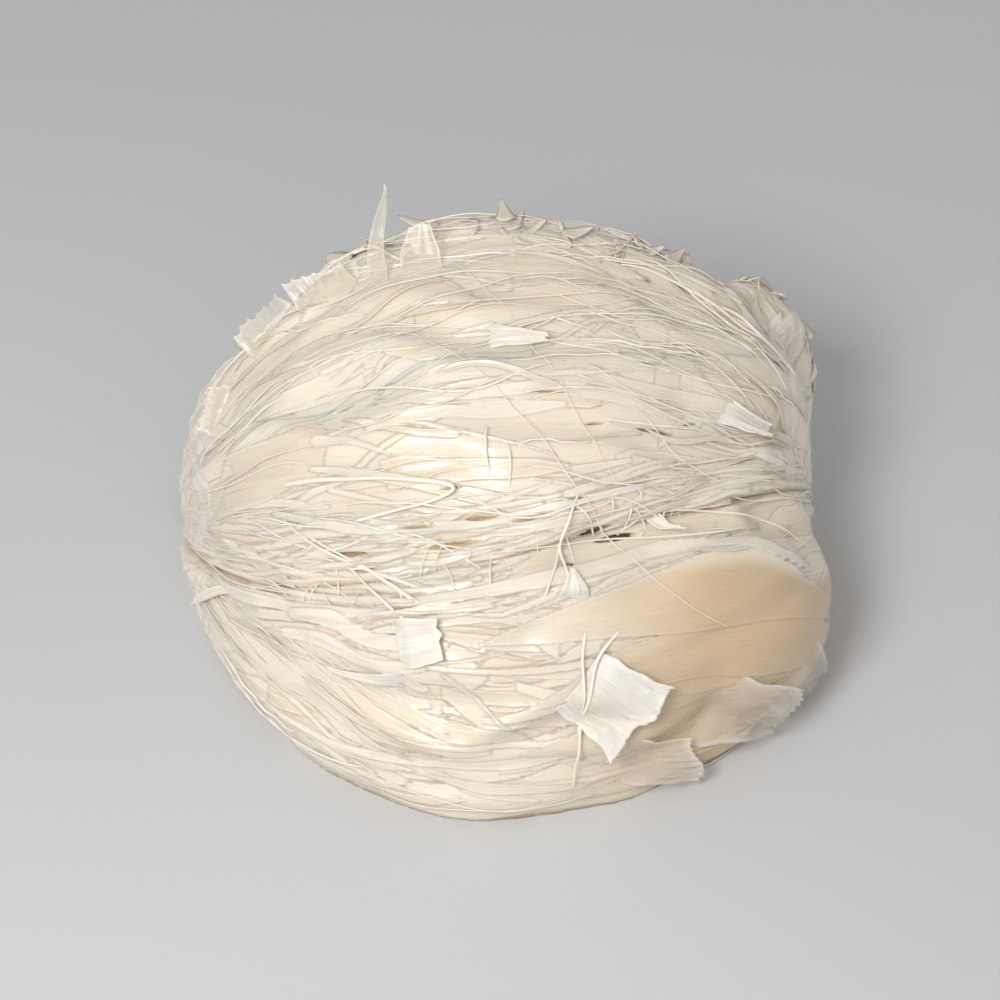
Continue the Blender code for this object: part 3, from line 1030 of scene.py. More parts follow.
def lay_bake_map(mesh, count, cells):
    """Gives each strand a cell of its own on the map through which its colours are baked."""
    columns = max(1, round(math.sqrt(count / 16)))
    rows = math.ceil(count / columns)
    corner = np.stack([np.arange(count) % columns, np.arange(count) // columns], -1)
    places = (corner[:, None] + 0.03 + 0.94 * cells[None]) / (columns, rows)
    layer = mesh.uv_layers.new(name="OFBake")
    layer.uv.foreach_set("vector", places.astype(np.float32).ravel())


def add_piece(name, mesh, material):
    """Shows mesh as a piece of the nest."""
    piece = bpy.data.objects.new(name, mesh)
    bpy.context.scene.collection.objects.link(piece)
    mesh.materials.append(material)
    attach(piece, "root")
    return piece


def deselect_all():
    for other in bpy.context.selected_objects:
        other.select_set(False)


def made_active(piece):
    deselect_all()
    piece.select_set(True)
    bpy.context.view_layer.objects.active = piece


def strand_colour(graph, settings, white_edges, shade_share):
    """The colour that strands, ribbons and film share, and the streaks along them, with a painted
    highlight white along edges and painted amber shade where they lie deep.
    """
    flow = graph.places("flow")
    streaks = graph.noise(flow, (170, 2600, 40), 3, 0.6)
    patches = graph.noise(graph.places(), (85, 85, 85), 3)
    paleness = graph.value("tone") * 0.7 + patches * 0.6 + streaks * 0.3 - 0.3
    colour = graph.mixed(paleness.between(0.0, 0.8), settings.cream, settings.pale)
    # Painted highlight: whiter along the edges
    colour = graph.mixed(graph.value("edge") * white_edges, colour, settings.white)
    # Painted shade: towards amber where the point lies deep
    return graph.mixed(graph.value("deep") * shade_share, colour, settings.amber), streaks, flow


def sheet_material(settings):
    """The sheets of set ribbons: waxy and translucent, with painted amber shade deep between them and a
    painted highlight white along ribbon rims.
    """
    graph = Graph("set_sheet")
    colour, streaks, flow = strand_colour(graph, settings, 0.75, 0.85)
    height = streaks + graph.noise(flow, (420, 6000, 60), 2) * 0.5
    return graph.finished(
        {
            "Base Color": colour,
            "Roughness": 0.22 + streaks * 0.26,
            "Subsurface Weight": 0.75,
            "Subsurface Radius": (1.0, 0.80, 0.58),
            "Subsurface Scale": 0.0016,
            "Coat Weight": 0.5,
            "Coat Roughness": 0.14,
            "Normal": graph.bumped(height, 0.00014, 0.9),
        }
    )


def strand_material(settings):
    """Single strands that stand off the sheets."""
    graph = Graph("set_strand")
    colour, streaks, _ = strand_colour(graph, settings, 0.9, 0.6)
    return graph.finished(
        {
            "Base Color": colour,
            "Roughness": 0.24 + streaks * 0.22,
            "Coat Weight": 0.15,
            "Coat Roughness": 0.15,
            "Normal": graph.bumped(streaks, 0.00006, 0.7),
        }
    )


def band_material(settings):
    """Wide bands of film: waxy, and clear enough for a little of what is below to show."""
    graph = Graph("set_band")
    colour, streaks, _ = strand_colour(graph, settings, 0.7, 0.5)
    return graph.finished(
        {
            "Base Color": colour,
            "Roughness": 0.24 + streaks * 0.25,
            "Alpha": 0.50 + streaks * 0.35 + graph.value("edge") * 0.3,
            "Coat Weight": 0.15,
            "Coat Roughness": 0.15,
            "Normal": graph.bumped(streaks, 0.0001, 0.9),
        }
    )


def flake_material(settings):
    """Flakes: whiter than the rest, with ribs along them."""
    graph = Graph("set_flake")
    flow = graph.places("flow")
    ribs = graph.noise(flow, (150, 2200, 30), 3, 0.6)
    shade = graph.value("tone") * 0.6 + ribs * 0.6
    colour = graph.mixed(shade.between(0.1, 1.1), settings.pale, settings.white)
    return graph.finished(
        {
            "Base Color": colour,
            "Roughness": 0.3 + ribs * 0.25,
            "Alpha": 0.62 + ribs * 0.30 + graph.value("edge") * 0.3,
            "Coat Weight": 0.15,
            "Coat Roughness": 0.15,
            "Normal": graph.bumped(ribs, 0.0002, 0.9),
        }
    )


def film_material(settings):
    """Film: the thin set skin between strands, with a painted highlight white along its edges, and clear in
    the middle.
    """
    graph = Graph("set_film")
    colour, streaks, _ = strand_colour(graph, settings, 0.9, 0.4)
    patches = graph.noise(graph.places(), (240, 240, 240), 3)
    clear = patches.between(0.62, 0.35)
    return graph.finished(
        {
            "Base Color": colour,
            "Roughness": 0.2 + streaks * 0.2,
            "Alpha": 0.18 + clear * 0.10 + graph.value("edge") * 0.45,
            "Coat Weight": 0.4,
            "Coat Roughness": 0.12,
            "Normal": graph.bumped(streaks, 0.0001, 0.8),
        }
    )


def wall_material(settings):
    """The body of the wall, which shows inside the cup and on the cut, with painted amber shade in its
    grooves.
    """
    graph = Graph("set_wall")
    places = graph.places()
    patches = graph.noise(places, (140, 140, 140), 4)
    fine = graph.noise(places, (900, 2400, 2400), 3)
    # Painted shade: amber in the grooves, cream on the ridges, with random patches
    share = graph.value("groove") * 0.8 + patches * 0.5 - 0.15
    return graph.finished(
        {
            "Base Color": graph.mixed(share.between(0.0, 0.9), settings.amber, settings.cream),
            "Roughness": 0.42 + fine * 0.2,
            "Subsurface Weight": 0.5,
            "Subsurface Radius": (1.0, 0.6, 0.3),
            "Subsurface Scale": 0.003,
            "Normal": graph.bumped(fine, 0.0002, 0.6),
        }
    )


def material_named(name, maker):
    return bpy.data.materials.get(name) or maker(bpy.context.scene.nest_strands)


@functools.cache
def skins():
    """The nest's outer and inner skins, read once."""
    tree = solid_tree()
    return Skin(tree, False), Skin(tree, True)


def lay_ribbon(sheet, rng, middle, course, kind):
    """Lays one ribbon of a kind, with its middle at one place along, on a course that gives a turn
    for each along."""
    length, width, thickness, lean_most, drape = kind
    reach = rng.uniform(*length) / 2 / CUP_DEPTH
    start, end = max(middle - reach, SKIN_ALONG[0]), min(middle + reach, SKIN_ALONG[1])
    lean = rng.normal(0, lean_most)
    corners = 1 + int(reach * CORNERS_PER_RADIAN)
    aside = kinked(rng, start, end, corners, rng.uniform(0.0, KINK))
    outline = torn(rng, corners + 1, 0.5)
    half = rng.uniform(*width) / 2
    sheet.lay(
        (start, end),
        lambda along: course(along) + lean * (along - middle) + aside(along),
        lambda share: half * outline(share),
        rng.uniform(*thickness),
        np.clip(rng.normal(*RIBBON_TONE), 0, 1),
        rng.uniform(0, 10),
        drape,
    )


def lay_ribbons(sheet, rng, side):
    """Lays every kind of ribbon on the sheet, in mixed order, and then the narrow ones along the
    crevice, which lies to one side of it."""
    order = np.repeat(np.arange(len(RIBBONS)), [kind[0] for kind in RIBBONS])
    low, high = sheet.low.min() - RIBBON_OVERHANG, sheet.high.max() + RIBBON_OVERHANG
    for number in rng.permutation(order):
        middle, turn = rng.uniform(*RIBBON_MIDDLES) * math.pi, rng.uniform(low, high)
        lay_ribbon(sheet, rng, middle, lambda along: turn + swing(along, turn), RIBBONS[number][1:])
    for number in range(CREVICE_RIBBONS):
        aside = side * CREVICE_ZONE * rng.uniform(0, 1) ** 1.5
        kind = (*CREVICE_RIBBON, CREVICE_DRAPE * (number % 2))
        middle = rng.uniform(*CREVICE_MIDDLES) * math.pi
        lay_ribbon(sheet, rng, middle, lambda along: crevice_turn(along) - aside, kind)


def wrap_lobe(sheet, rng):
    """Wraps the rolled lobe in wide smooth film."""
    for _ in range(LOBE_FILMS):
        start = rng.uniform(*LOBE_STARTS)
        end = start + rng.uniform(*LOBE_LENGTHS)
        turn = rng.uniform(*LOBE_TURNS)
        lean, outline = rng.normal(*LOBE_LEAN), torn(rng, 3, 0.08)
        half = rng.uniform(*LOBE_FILM_WIDTH) / 2
        sheet.lay(
            (start, min(end, SKIN_ALONG[1])),
            lambda along: turn + lean * (along - start),
            lambda share: half * outline(share),
            rng.uniform(*LOBE_FILM_THICKNESS),
            rng.uniform(*LOBE_TONES),
            rng.uniform(0, 10),
            LOBE_DRAPE,
        )


def shade_lobe(sheet):
    """Paints shade on the rolled lobe below the ribbon along its top, deepening its colour towards amber."""
    curve = spline(SET_RIBBONS[LOBE_EDGE][-1], 60)
    top = np.radians(np.interp(sheet.along, curve[:, 0], curve[:, 1]))[:, None] - LOBE_EDGE_WIDTH
    start, full = LOBE_SHADE_START
    below = smooth((top - sheet.turn) / LOBE_SHADE_FADE)
    grown = smooth((sheet.along - start) / (full - start))[:, None]
    sheet.painted_shade = np.maximum(sheet.painted_shade, LOBE_SHADE * below * grown)


def off_lobe(rng, along, turn):
    """turn with as many of the places on the rolled lobe as LOBE_SPARED says moved up to the dome."""
    on_lobe = (along > LOBE_STARTS[0]) & (turn > LOBE_TURNS[0]) & (turn < LOBE_TURNS[1])
    return np.where(on_lobe & (rng.uniform(0, 1, turn.shape) < LOBE_SPARED), turn + LOBE_STEP, turn)


def part_gaps(sheet, rng):
    """Parts the ribbons, and paints amber shade in the gaps: along the crevice, and at random."""
    spots = [(along, math.radians(turn), length, width) for along, turn, length, width in GAPS]
    for _ in range(RANDOM_GAPS):
        spots.append([rng.uniform(*limits) for limits in (*RANDOM_GAP_PLACES, *RANDOM_GAP_SIZES)])
    for middle, turn, length, width in spots:
        reach = length / 2 / CUP_DEPTH
        lean = rng.normal(*GAP_LEAN)
        sheet.part(
            (middle - reach, middle + reach),
            lambda along: turn + lean * (along - middle),
            lambda share: width / 2 * tapers(share, 0.9),
            GAP_DEPTH,
        )


def wrap_feet(sheet, rng):
    """Lays the ribbons that wrap each foot, over the ends of those that run from foot to foot."""
    low, high = sheet.low.min(), sheet.high.max()
    for number in range(2 * FOOT_WRAPS):
        from_foot = rng.uniform(SKIN_ALONG[0], FOOT_REACH)
        middle = rng.uniform(low - 0.1, high)
        reach = rng.uniform(*WRAP_REACH)
        lean, wave, phase = rng.normal(*WRAP_LEAN), rng.uniform(0, WRAP_SWING), rng.uniform(0, 2 * math.pi)
        half, outline = rng.uniform(*WRAP_HALF), torn(rng, 4, 0.5)

        def along_at(turn):
            far = from_foot + lean * (turn - middle) + wave * np.sin(5 * turn + phase)
            return far if number % 2 else math.pi - far

        sheet.lay_across(
            (middle - reach, middle + reach),
            along_at,
            lambda share: half * outline(share),
            rng.uniform(*WRAP_THICKNESS),
            np.clip(rng.normal(*WRAP_TONE), 0, 1),
            rng.uniform(0, 10),
            WRAP_DRAPE,
        )


def lay_set_ribbons(sheet):
    """Lays the ribbons that have places of their own."""
    for number, (width, thickness, tone, drape, knots) in enumerate(SET_RIBBONS):
        curve = spline(knots, 60)
        half = width / 2000

        def turn_at(along):
            return np.radians(np.interp(along, curve[:, 0], curve[:, 1]))

        def half_at(share):
            return half * tapers(share, SET_TAPER * width) * (1 + 0.1 * np.sin(13 * share + number))

        sheet.lay((knots[0][0], knots[-1][0]), turn_at, half_at, thickness / 1000, tone, number + 0.4, drape)


def threads(settings, seed, count, spread, widths, lifts, lengths, steps=22):
    """Thin strands over the sheets, most of them along the flow."""
    outer, _ = skins()
    rng = np.random.default_rng(settings.seed + seed)
    share = np.linspace(0, 1, steps)
    middle = rng.uniform(*THREAD_MIDDLES, count)[:, None] * math.pi
    reach = rng.uniform(*lengths, count)[:, None] / 2 / CUP_DEPTH
    starts = rng.uniform(*THREAD_STARTS, (count, 1))
    along = np.clip(middle + reach * (2 * share - 1), starts, math.pi - FOOT_MARGIN)
    level = off_lobe(rng, along[:, -1:], rng.uniform(*THREAD_TURNS, count)[:, None])
    lean = rng.standard_t(2.5, count)[:, None] * spread
    turn = level + np.clip(lean, -1.3, 1.3) * (along - middle) + swing(along, level)
    turn = turn + rng.uniform(0.03, 0.12, (count, 1)) * reach * ripple(rng, count, share, (0.4, 1.4))
    turn = np.clip(turn, 0.004, outer.lip_at(along) - LIP_MARGIN)
    lift = rng.uniform(*lifts, count)[:, None] - THREAD_TUCK * (1 - tapers(share, 0.3))
    lift = lift + THREAD_WAVE * ripple(rng, count, share, (1, 4))
    path, normals = outer.place(along, turn, lift)
    width = rng.triangular(widths[0], widths[0], widths[1], count)[:, None] * tapers(share, 0.35, 0.15)
    twist = rng.normal(0, 0.5, (count, 1)) + 0 * share
    path = held_above_cut(path, LEAST_PATH_HEIGHT)
    rings = strand_rings(path, normals, width, width * 0.7, twist, round_profile(5))
    tones = np.clip(rng.normal(*THREAD_TONE, count), 0, 1)
    edges = np.clip(rng.normal(0.5, 0.35, (count, 1, 1)), 0, 1)
    return held_above_cut(rings), strand_values(rings, tones, rng.uniform(0, 10, count), edges)


def loose_ribbons(settings, seed, count, lengths, widths, lifts, steps=26, across=9):
    """Flat ribbons that stand off the sheets, creased along and torn to points."""
    outer, _ = skins()
    rng = np.random.default_rng(settings.seed + seed)
    share = np.linspace(0, 1, steps)
    middle = rng.uniform(*LOOSE_MIDDLES, count)[:, None] * math.pi
    reach = rng.uniform(*lengths, count)[:, None] / 2 / CUP_DEPTH
    along = np.clip(middle + reach * (2 * share - 1), FOOT_MARGIN, math.pi - FOOT_MARGIN)
    level = off_lobe(rng, along[:, -1:], rng.uniform(*LOOSE_TURNS, count)[:, None])
    turn = level + rng.normal(*LOOSE_LEAN, count)[:, None] * (along - middle) + swing(along, level)
    turn = turn + rng.uniform(0.02, 0.10, (count, 1)) * reach * ripple(rng, count, share, (0.4, 1.2))
    turn = np.clip(turn, 0.01, outer.lip_at(along) - LIP_MARGIN)
    lift = rng.uniform(*lifts, count)[:, None] * (0.6 + 0.4 * ripple(rng, count, share, (0.4, 1.2)))
    lift = lift - LOOSE_TUCK * (1 - tapers(share, 0.3))
    path, normals = outer.place(along, turn, lift)
    ragged = 1 + 0.10 * ripple(rng, count, share, (2, 6))
    opening = np.clip(share / rng.uniform(0.1, 0.5, (count, 1)), 0, 1)
    closing = np.clip((1 - share) / 0.12, 0, 1) ** 0.6
    width = rng.uniform(*widths, count)[:, None] * (opening * closing) * ragged
    thickness = rng.uniform(*LOOSE_THICKNESS, count)[:, None] + 0 * share
    twist = rng.normal(0, 0.18, (count, 1)) + 0.35 * ripple(rng, count, share, (0.3, 1.0))
    profile = flat_profile(across)
    path = held_above_cut(path, LOOSE_PATH_HEIGHT)
    rings = strand_rings(path, normals, width, thickness, twist, profile)
    u = profile[0]
    from_crease = np.abs(u - rng.uniform(-0.5, 0.5, (count, 1, 1)))
    crease = LOOSE_CREASE * width[..., None] * from_crease * rng.normal(0, 1, (count, 1, 1))
    rings = rings + normals[:, :, None] * crease[..., None]
    tones = np.clip(rng.normal(*LOOSE_TONE, count), 0, 1)
    # Painted highlight: white along both edges of each ribbon
    return held_above_cut(rings), strand_values(rings, tones, rng.uniform(0, 10, count), u**4)


def lip_fringe(settings, seed, count, length, width, steps=12, across=5):
    """Pointed and rounded ends of film that stand off the lip."""
    outer, _ = skins()
    rng = np.random.default_rng(settings.seed + seed)
    share = np.linspace(0, 1, steps)
    along = rng.uniform(*FRINGE_SPAN, count) * math.pi
    lip = outer.lip_at(along)
    turn, lift = lip - rng.uniform(*FRINGE_ROOTS, count), rng.uniform(*FRINGE_LIFTS, count)
    root, normals = outer.place(along, turn, lift)
    ahead, _ = outer.place(along, lip + 0.02, np.zeros(count))
    behind, _ = outer.place(along, lip - 0.06, np.zeros(count))
    over = unit(ahead - behind)
    sweep = unit(np.cross(over, normals))
    outside = np.where(along < math.pi / 2, -1.0, 1.0) * np.sign(sweep[:, 0])
    lean = unit(over + sweep * (outside * rng.uniform(*FRINGE_LEANS, count))[:, None])
    reach = rng.uniform(*length, count)
    bend = normals * rng.normal(*FRINGE_BEND, count)[:, None]
    path = root[:, None] + (lean * reach[:, None])[:, None] * share[:, None]
    path = path + (bend * reach[:, None])[:, None] * (share**2)[:, None]
    point = rng.uniform(*FRINGE_POINTS, count)[:, None]
    wide = rng.uniform(*width, count)[:, None] * (1 - share) ** point * np.minimum(1, 0.3 + 4 * share)
    thickness = np.clip(wide * FRINGE_FLATNESS, *FRINGE_THICKNESS)
    twist = rng.normal(0, 0.5, (count, 1)) + rng.normal(0, 0.5, (count, 1)) * share
    facing = np.broadcast_to(normals[:, None], path.shape)
    profile = flat_profile(across)
    rings = strand_rings(path, facing, wide, thickness, twist, profile)
    tones = np.clip(rng.normal(*FRINGE_TONE, count), 0, 1)
    # Painted highlight: white along the rims, growing towards the free tips
    edges = np.maximum(profile[0] ** 4, 0.6 * share[:, None] ** 2)
    return held_above_cut(rings), strand_values(rings, tones, rng.uniform(0, 10, count), edges)


def covered_places():
    """The places that the sheets and the inner web cover, ready for a search of the nearest one."""
    parts = []
    turn = np.linspace(*SKIN_TURN, SKIN_STEPS[1])
    for skin, foot in zip(skins(), END_FEET):
        shown = (skin.along > foot) & (skin.along < math.pi - foot)
        parts.append(skin.points[shown[:, None] & (turn[None] < skin.lip[:, None] - END_OVERLAP)])
    points = np.concatenate(parts)
    near = KDTree(len(points))
    for number, point in enumerate(points):
        near.insert(point, number)
    near.balance()
    return near


def end_course(rng, tree, place, normal, steps):
    """A course over the solid from a place on it, near to the way from foot to foot, and the
    directions that it faces."""
    radial = Vector((place.x, 0.0, place.z + END_AXIS_DEPTH)).normalized()
    heading = normal.cross(radial).normalized()
    heading.rotate(Quaternion(normal, rng.normal(0, END_LEAN)))
    step = rng.uniform(*END_LENGTH) / steps
    path, facing = [], []
    for _ in range(steps):
        path.append(place.copy())
        facing.append(normal.copy())
        place, normal, _, _ = tree.find_nearest(place + heading * step)
        heading = (heading - normal * heading.dot(normal)).normalized()
    return path, facing


def end_courses(rng, count, steps):
    """Courses that start where the sheets and the inner web leave the solid bare."""
    tree, near = solid_tree(), covered_places()
    courses = []
    while len(courses) < count:
        place, normal, _, _ = tree.find_nearest(Vector(rng.uniform(LOW, HIGH)))
        hidden = place.y < END_FRONT or normal.z < END_FACING or near.find(place)[2] < END_BARE
        if not hidden:
            courses.append(end_course(rng, tree, place, normal, steps))
    return np.array(courses).swapaxes(0, 1)


def end_ribbons(settings, seed, count, steps=12, across=5):
    """Flat ribbons that follow the solid over its lip and its foot ends, most of them from foot to foot."""
    rng = np.random.default_rng(settings.seed + seed)
    path, normals = end_courses(rng, count, steps)
    share = np.linspace(0, 1, steps)
    normals = unit(normals + np.roll(normals, 1, 1) + np.roll(normals, -1, 1) + normals)
    lift = rng.uniform(*END_LIFTS, count)[:, None] - THREAD_TUCK * (1 - tapers(share, 0.3))
    path = held_above_cut(path + normals * lift[..., None], LEAST_PATH_HEIGHT)
    width = rng.triangular(END_WIDTHS[0], END_WIDTHS[0], END_WIDTHS[1], count)[:, None]
    width = width * tapers(share, 0.5) * (1 + 0.12 * ripple(rng, count, share, (1, 3)))
    thickness = np.minimum(width * END_FLATNESS, rng.uniform(*END_THICKNESS, count)[:, None])
    twist = rng.normal(0, 0.25, (count, 1)) + 0 * share
    profile = flat_profile(across)
    rings = strand_rings(path, normals, width, thickness, twist, profile)
    tones = np.clip(rng.normal(*END_TONE, count), 0, 1)
    seeds = rng.uniform(0, 10, count)
    # Painted highlight: white along both edges of each ribbon
    return held_above_cut(rings), strand_values(rings, tones, seeds, 0.7 * profile[0] ** 4)


def inner_web(settings, seed, count, steps=20):
    """The loose web of strands on the inner skin."""
    _, inner = skins()
    rng = np.random.default_rng(settings.seed + seed)
    share = np.linspace(0, 1, steps)
    middle = rng.uniform(*WEB_MIDDLES, count)[:, None] * math.pi
    half = rng.uniform(*WEB_REACH, count)[:, None]
    along = np.clip(middle + half * (2 * share - 1), WEB_FOOT_MARGIN, math.pi - WEB_FOOT_MARGIN)
    lean = rng.normal(*WEB_LEAN, count)[:, None]
    turn = rng.uniform(*WEB_TURNS, count)[:, None] + lean * (along - middle)
    turn = turn + rng.uniform(0.01, 0.06, (count, 1)) * ripple(rng, count, share, (0.7, 2.5))
    turn = np.clip(turn, 0.01, inner.lip_at(along) - LIP_MARGIN)
    lift = rng.uniform(*WEB_LIFTS, count)[:, None] - WEB_TUCK * (1 - tapers(share, 0.35))
    path, normals = inner.place(along, turn, lift)
    width = rng.uniform(*WEB_WIDTHS, count)[:, None] * tapers(share, 0.4, 0.1)
    twist = rng.normal(0, 0.3, (count, 1)) + 0 * share
    path = held_above_cut(path, LEAST_PATH_HEIGHT)
    rings = strand_rings(path, normals, width, width * WEB_FLATNESS, twist, round_profile(5))
    tones = np.clip(rng.normal(*WEB_TONE, count), 0, 1)
    return held_above_cut(rings), strand_values(rings, tones, rng.uniform(0, 10, count), 0.1)


def spline(knots, steps):
    """Points of a smooth curve through knots."""
    knots = np.array(knots, float)
    padded = np.concatenate([2 * knots[:1] - knots[1:2], knots, 2 * knots[-1:] - knots[-2:-1]])
    place = np.linspace(0, len(knots) - 1, steps)
    first = np.minimum(place.astype(int), len(knots) - 2)
    s = (place - first)[:, None]
    a, b, c, d = (padded[first + n] for n in range(4))
    return 0.5 * (2 * b + (c - a) * s + (2 * a - 5 * b + 4 * c - d) * s**2 + (3 * b - a - 3 * c + d) * s**3)


def bridge(rng):
    """A small strand across the crevice, as a row like those of the chosen strands."""
    along, drift = rng.uniform(*BRIDGE_SPAN), rng.normal(0, BRIDGE_DRIFT)
    middle = math.degrees(crevice_turn(along)) + rng.normal(0, BRIDGE_SPREAD)
    reach, lift = rng.uniform(*BRIDGE_REACH), rng.uniform(*BRIDGE_LIFT)
    start = (along, middle + reach, BRIDGE_FOOT)
    end = (along + 1.5 * drift, middle - reach, BRIDGE_FOOT)
    return rng.uniform(*BRIDGE_WIDTH), BRIDGE_FLATNESS, (start, (along + drift, middle, lift), end)


def chosen_strands(settings, seed, steps=40):
    """The strands that stand out on this nest, each through places of its own, and those that bridge
    the crevice. All have webs for feet."""
    outer, _ = skins()
    rng = np.random.default_rng(settings.seed + seed)
    rows = [*CHOSEN_STRANDS, *(bridge(rng) for _ in range(BRIDGES))]
    curves = np.array([spline(knots, steps) for *_, knots in rows])
    share = np.linspace(0, 1, steps)
    along, turn, lift = curves[..., 0], np.radians(curves[..., 1]), curves[..., 2] / 1000
    lift = lift - STRAND_TUCK * np.abs(2 * share - 1) ** 8
    path, normals = outer.place(along, turn, lift)
    count = len(rows)
    width = np.array([[each[0] / 1000] for each in rows]) * (1 + WEB_FEET * np.abs(2 * share - 1) ** 6)
    width = width * (1 + 0.15 * ripple(rng, count, share, (1, 4))) * tapers(share, 0.2)
    flatness = np.array([[each[1]] for each in rows])
    twist = 0.3 * np.sin(4 * share) + 0 * width
    rings = strand_rings(path, normals, width, width * flatness, twist, round_profile(8))
    tones, seeds = np.full(count, 0.75), np.arange(count, dtype=float)
    return held_above_cut(rings), strand_values(rings, tones, seeds, 0.35)


class NestOperator:
    """What the operators that lay strands share."""

    bl_options = {"REGISTER", "UNDO"}

    @staticmethod
    def lay(name, made, material):
        return add_piece(name, strand_mesh(name, *made), material)


class NEST_OT_wall(NestOperator, bpy.types.Operator):
    """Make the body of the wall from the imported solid, with the grooves that strands leave in it"""

    bl_idname = "nest.wall"
    bl_label = "Wall"

    def execute(self, context):
        piece = self.copied_solid()
        self.groove(piece.data)
        piece.data.materials.append(material_named("set_wall", wall_material))
        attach(piece, "root")
        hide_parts(NODE)
        return {"FINISHED"}

    @staticmethod
    def copied_solid():
        """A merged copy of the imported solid, remeshed evenly."""
        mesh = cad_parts[NODE].data.copy()
        mesh.materials.clear()
        piece = bpy.data.objects.new("nest_wall", mesh)
        bpy.context.scene.collection.objects.link(piece)
        made_active(piece)
        bpy.ops.object.mode_set(mode="EDIT")
        bpy.ops.mesh.select_all(action="SELECT")
        bpy.ops.mesh.remove_doubles(threshold=1e-6)
        bpy.ops.object.mode_set(mode="OBJECT")
        mesh.remesh_voxel_size = WALL_VOXEL
        bpy.ops.object.voxel_remesh()
        return piece

    @staticmethod
    def read(mesh):
        """The places of the mesh's points, and the directions that they face."""
        points = np.empty(len(mesh.vertices) * 3, np.float32)
        normals = np.empty(len(mesh.vertices) * 3, np.float32)
        mesh.vertices.foreach_get("co", points)
        mesh.vertices.foreach_get("normal", normals)
        return points.reshape(-1, 3), normals.reshape(-1, 3)

    @staticmethod
    def covered(points, normals, along, turn):
        """How far each point lies under the sheets, 0 to 1, and less along the crevice and by the
        wall cut."""
        outward = unit(points - [0, POLE_Y, 0])
        low, high = OUTER_FADE_Z
        covered = smooth((normals * outward).sum(1) * 2) * smooth((POLE_Y - points[:, 1]) / OUTER_FADE_Y)
        covered = covered * smooth((points[:, 2] - low) / (high - low))
        in_crevice = np.exp(-(((turn - crevice_turn(along)) / CREVICE_SPREAD) ** 2))
        return covered * (1 - CREVICE_KEPT * in_crevice)

    def groove(self, mesh):
        """Moves the wall's points in and out along shallow grooves that run from foot to foot, and the whole
        wall a little in, under the sheets."""
        points, normals = self.read(mesh)
        along = np.arccos(np.clip(-points[:, 0] / GROOVE_REACH, -1, 1))
        turn = np.arctan2(points[:, 2] / REACH, (POLE_Y - points[:, 1]) / CUP_DEPTH)
        warp = wave_field(SEED + 2, 3.0)(along, turn)
        fine = np.sin(turn * 95 + 5 * warp + 2.5 * along) + np.sin(turn * 57 - 4 * warp - 3 * along)
        coarse = wave_field(SEED + 3, 9.0)(along, 3 * turn)
        on_cut = points[:, 2] < CUT_HEIGHT
        depth = np.where(on_cut, 0, FINE_GROOVE * fine + COARSE_GROOVE * coarse)
        inset = WALL_INSET + OUTER_INSET * self.covered(points, normals, along, turn)
        moved = points + normals * (depth - inset)[:, None]
        moved[on_cut, 2] = 0
        moved[:, 2] = np.maximum(moved[:, 2], 0)
        mesh.vertices.foreach_set("co", moved.astype(np.float32).ravel())
        # Painted shade: low in the grooves, high on the ridges between them
        hold(mesh, "groove", 0.5 + FINE_GROOVE_SHADE * fine + COARSE_GROOVE_SHADE * coarse)
        mesh.update()
        mesh.shade_smooth()


class NEST_OT_sheets(NestOperator, bpy.types.Operator):
    """Lay the two sheets of set ribbons that cover the outside"""

    bl_idname = "nest.sheets"
    bl_label = "Sheets"

    def execute(self, context):
        outer, _ = skins()
        rng = np.random.default_rng(context.scene.nest_strands.seed)
        material = material_named("set_sheet", sheet_material)
        lower = Sheet(outer, np.zeros_like, lambda along: crevice_turn(along) - CREVICE_GAP, LOWER_COLUMNS)
        upper = Sheet(outer, lambda along: crevice_turn(along) + CREVICE_GAP, outer.lip_at, UPPER_COLUMNS)
        for sheet, side in ((lower, 1), (upper, -1)):
            lay_ribbons(sheet, rng, side)
            wrap_feet(sheet, rng)
            if sheet is lower:
                wrap_lobe(sheet, rng)
            lay_set_ribbons(sheet)
            if sheet is lower:
                shade_lobe(sheet)
            part_gaps(sheet, rng)
        shown = (
            ("lower_sheet", lower, (0, LOWER_COLUMNS)),
            ("middle_sheet", upper, (0, SPLIT)),
            ("top_sheet", upper, (SPLIT, UPPER_COLUMNS)),
        )
        for name, sheet, columns in shown:
            self.lay(name, (sheet.rings(*columns), sheet.held(*columns)), material)
        return {"FINISHED"}


class NEST_OT_threads(NestOperator, bpy.types.Operator):
    """Lay the thin strands and the loose ribbons over the sheets"""

    bl_idname = "nest.threads"
    bl_label = "Threads"

    def execute(self, context):
        settings = context.scene.nest_strands
        material = material_named("set_strand", strand_material)
        thin = threads(
            settings,
            seed=10,
            count=170,
            spread=0.10,
            widths=settings.thread,
            lifts=(0.0001, 0.0004),
            lengths=(0.008, 0.05),
        )
        self.lay("threads", thin, material)
        loose = loose_ribbons(
            settings,
            seed=30,
            count=36,
            lengths=(0.008, 0.026),
            widths=(0.0005, 0.0013),
            lifts=(0.0002, 0.0006),
        )
        self.lay("loose_ribbons", loose, material_named("set_band", band_material))
        self.lay("chosen_strands", chosen_strands(settings, seed=20), material)
        return {"FINISHED"}


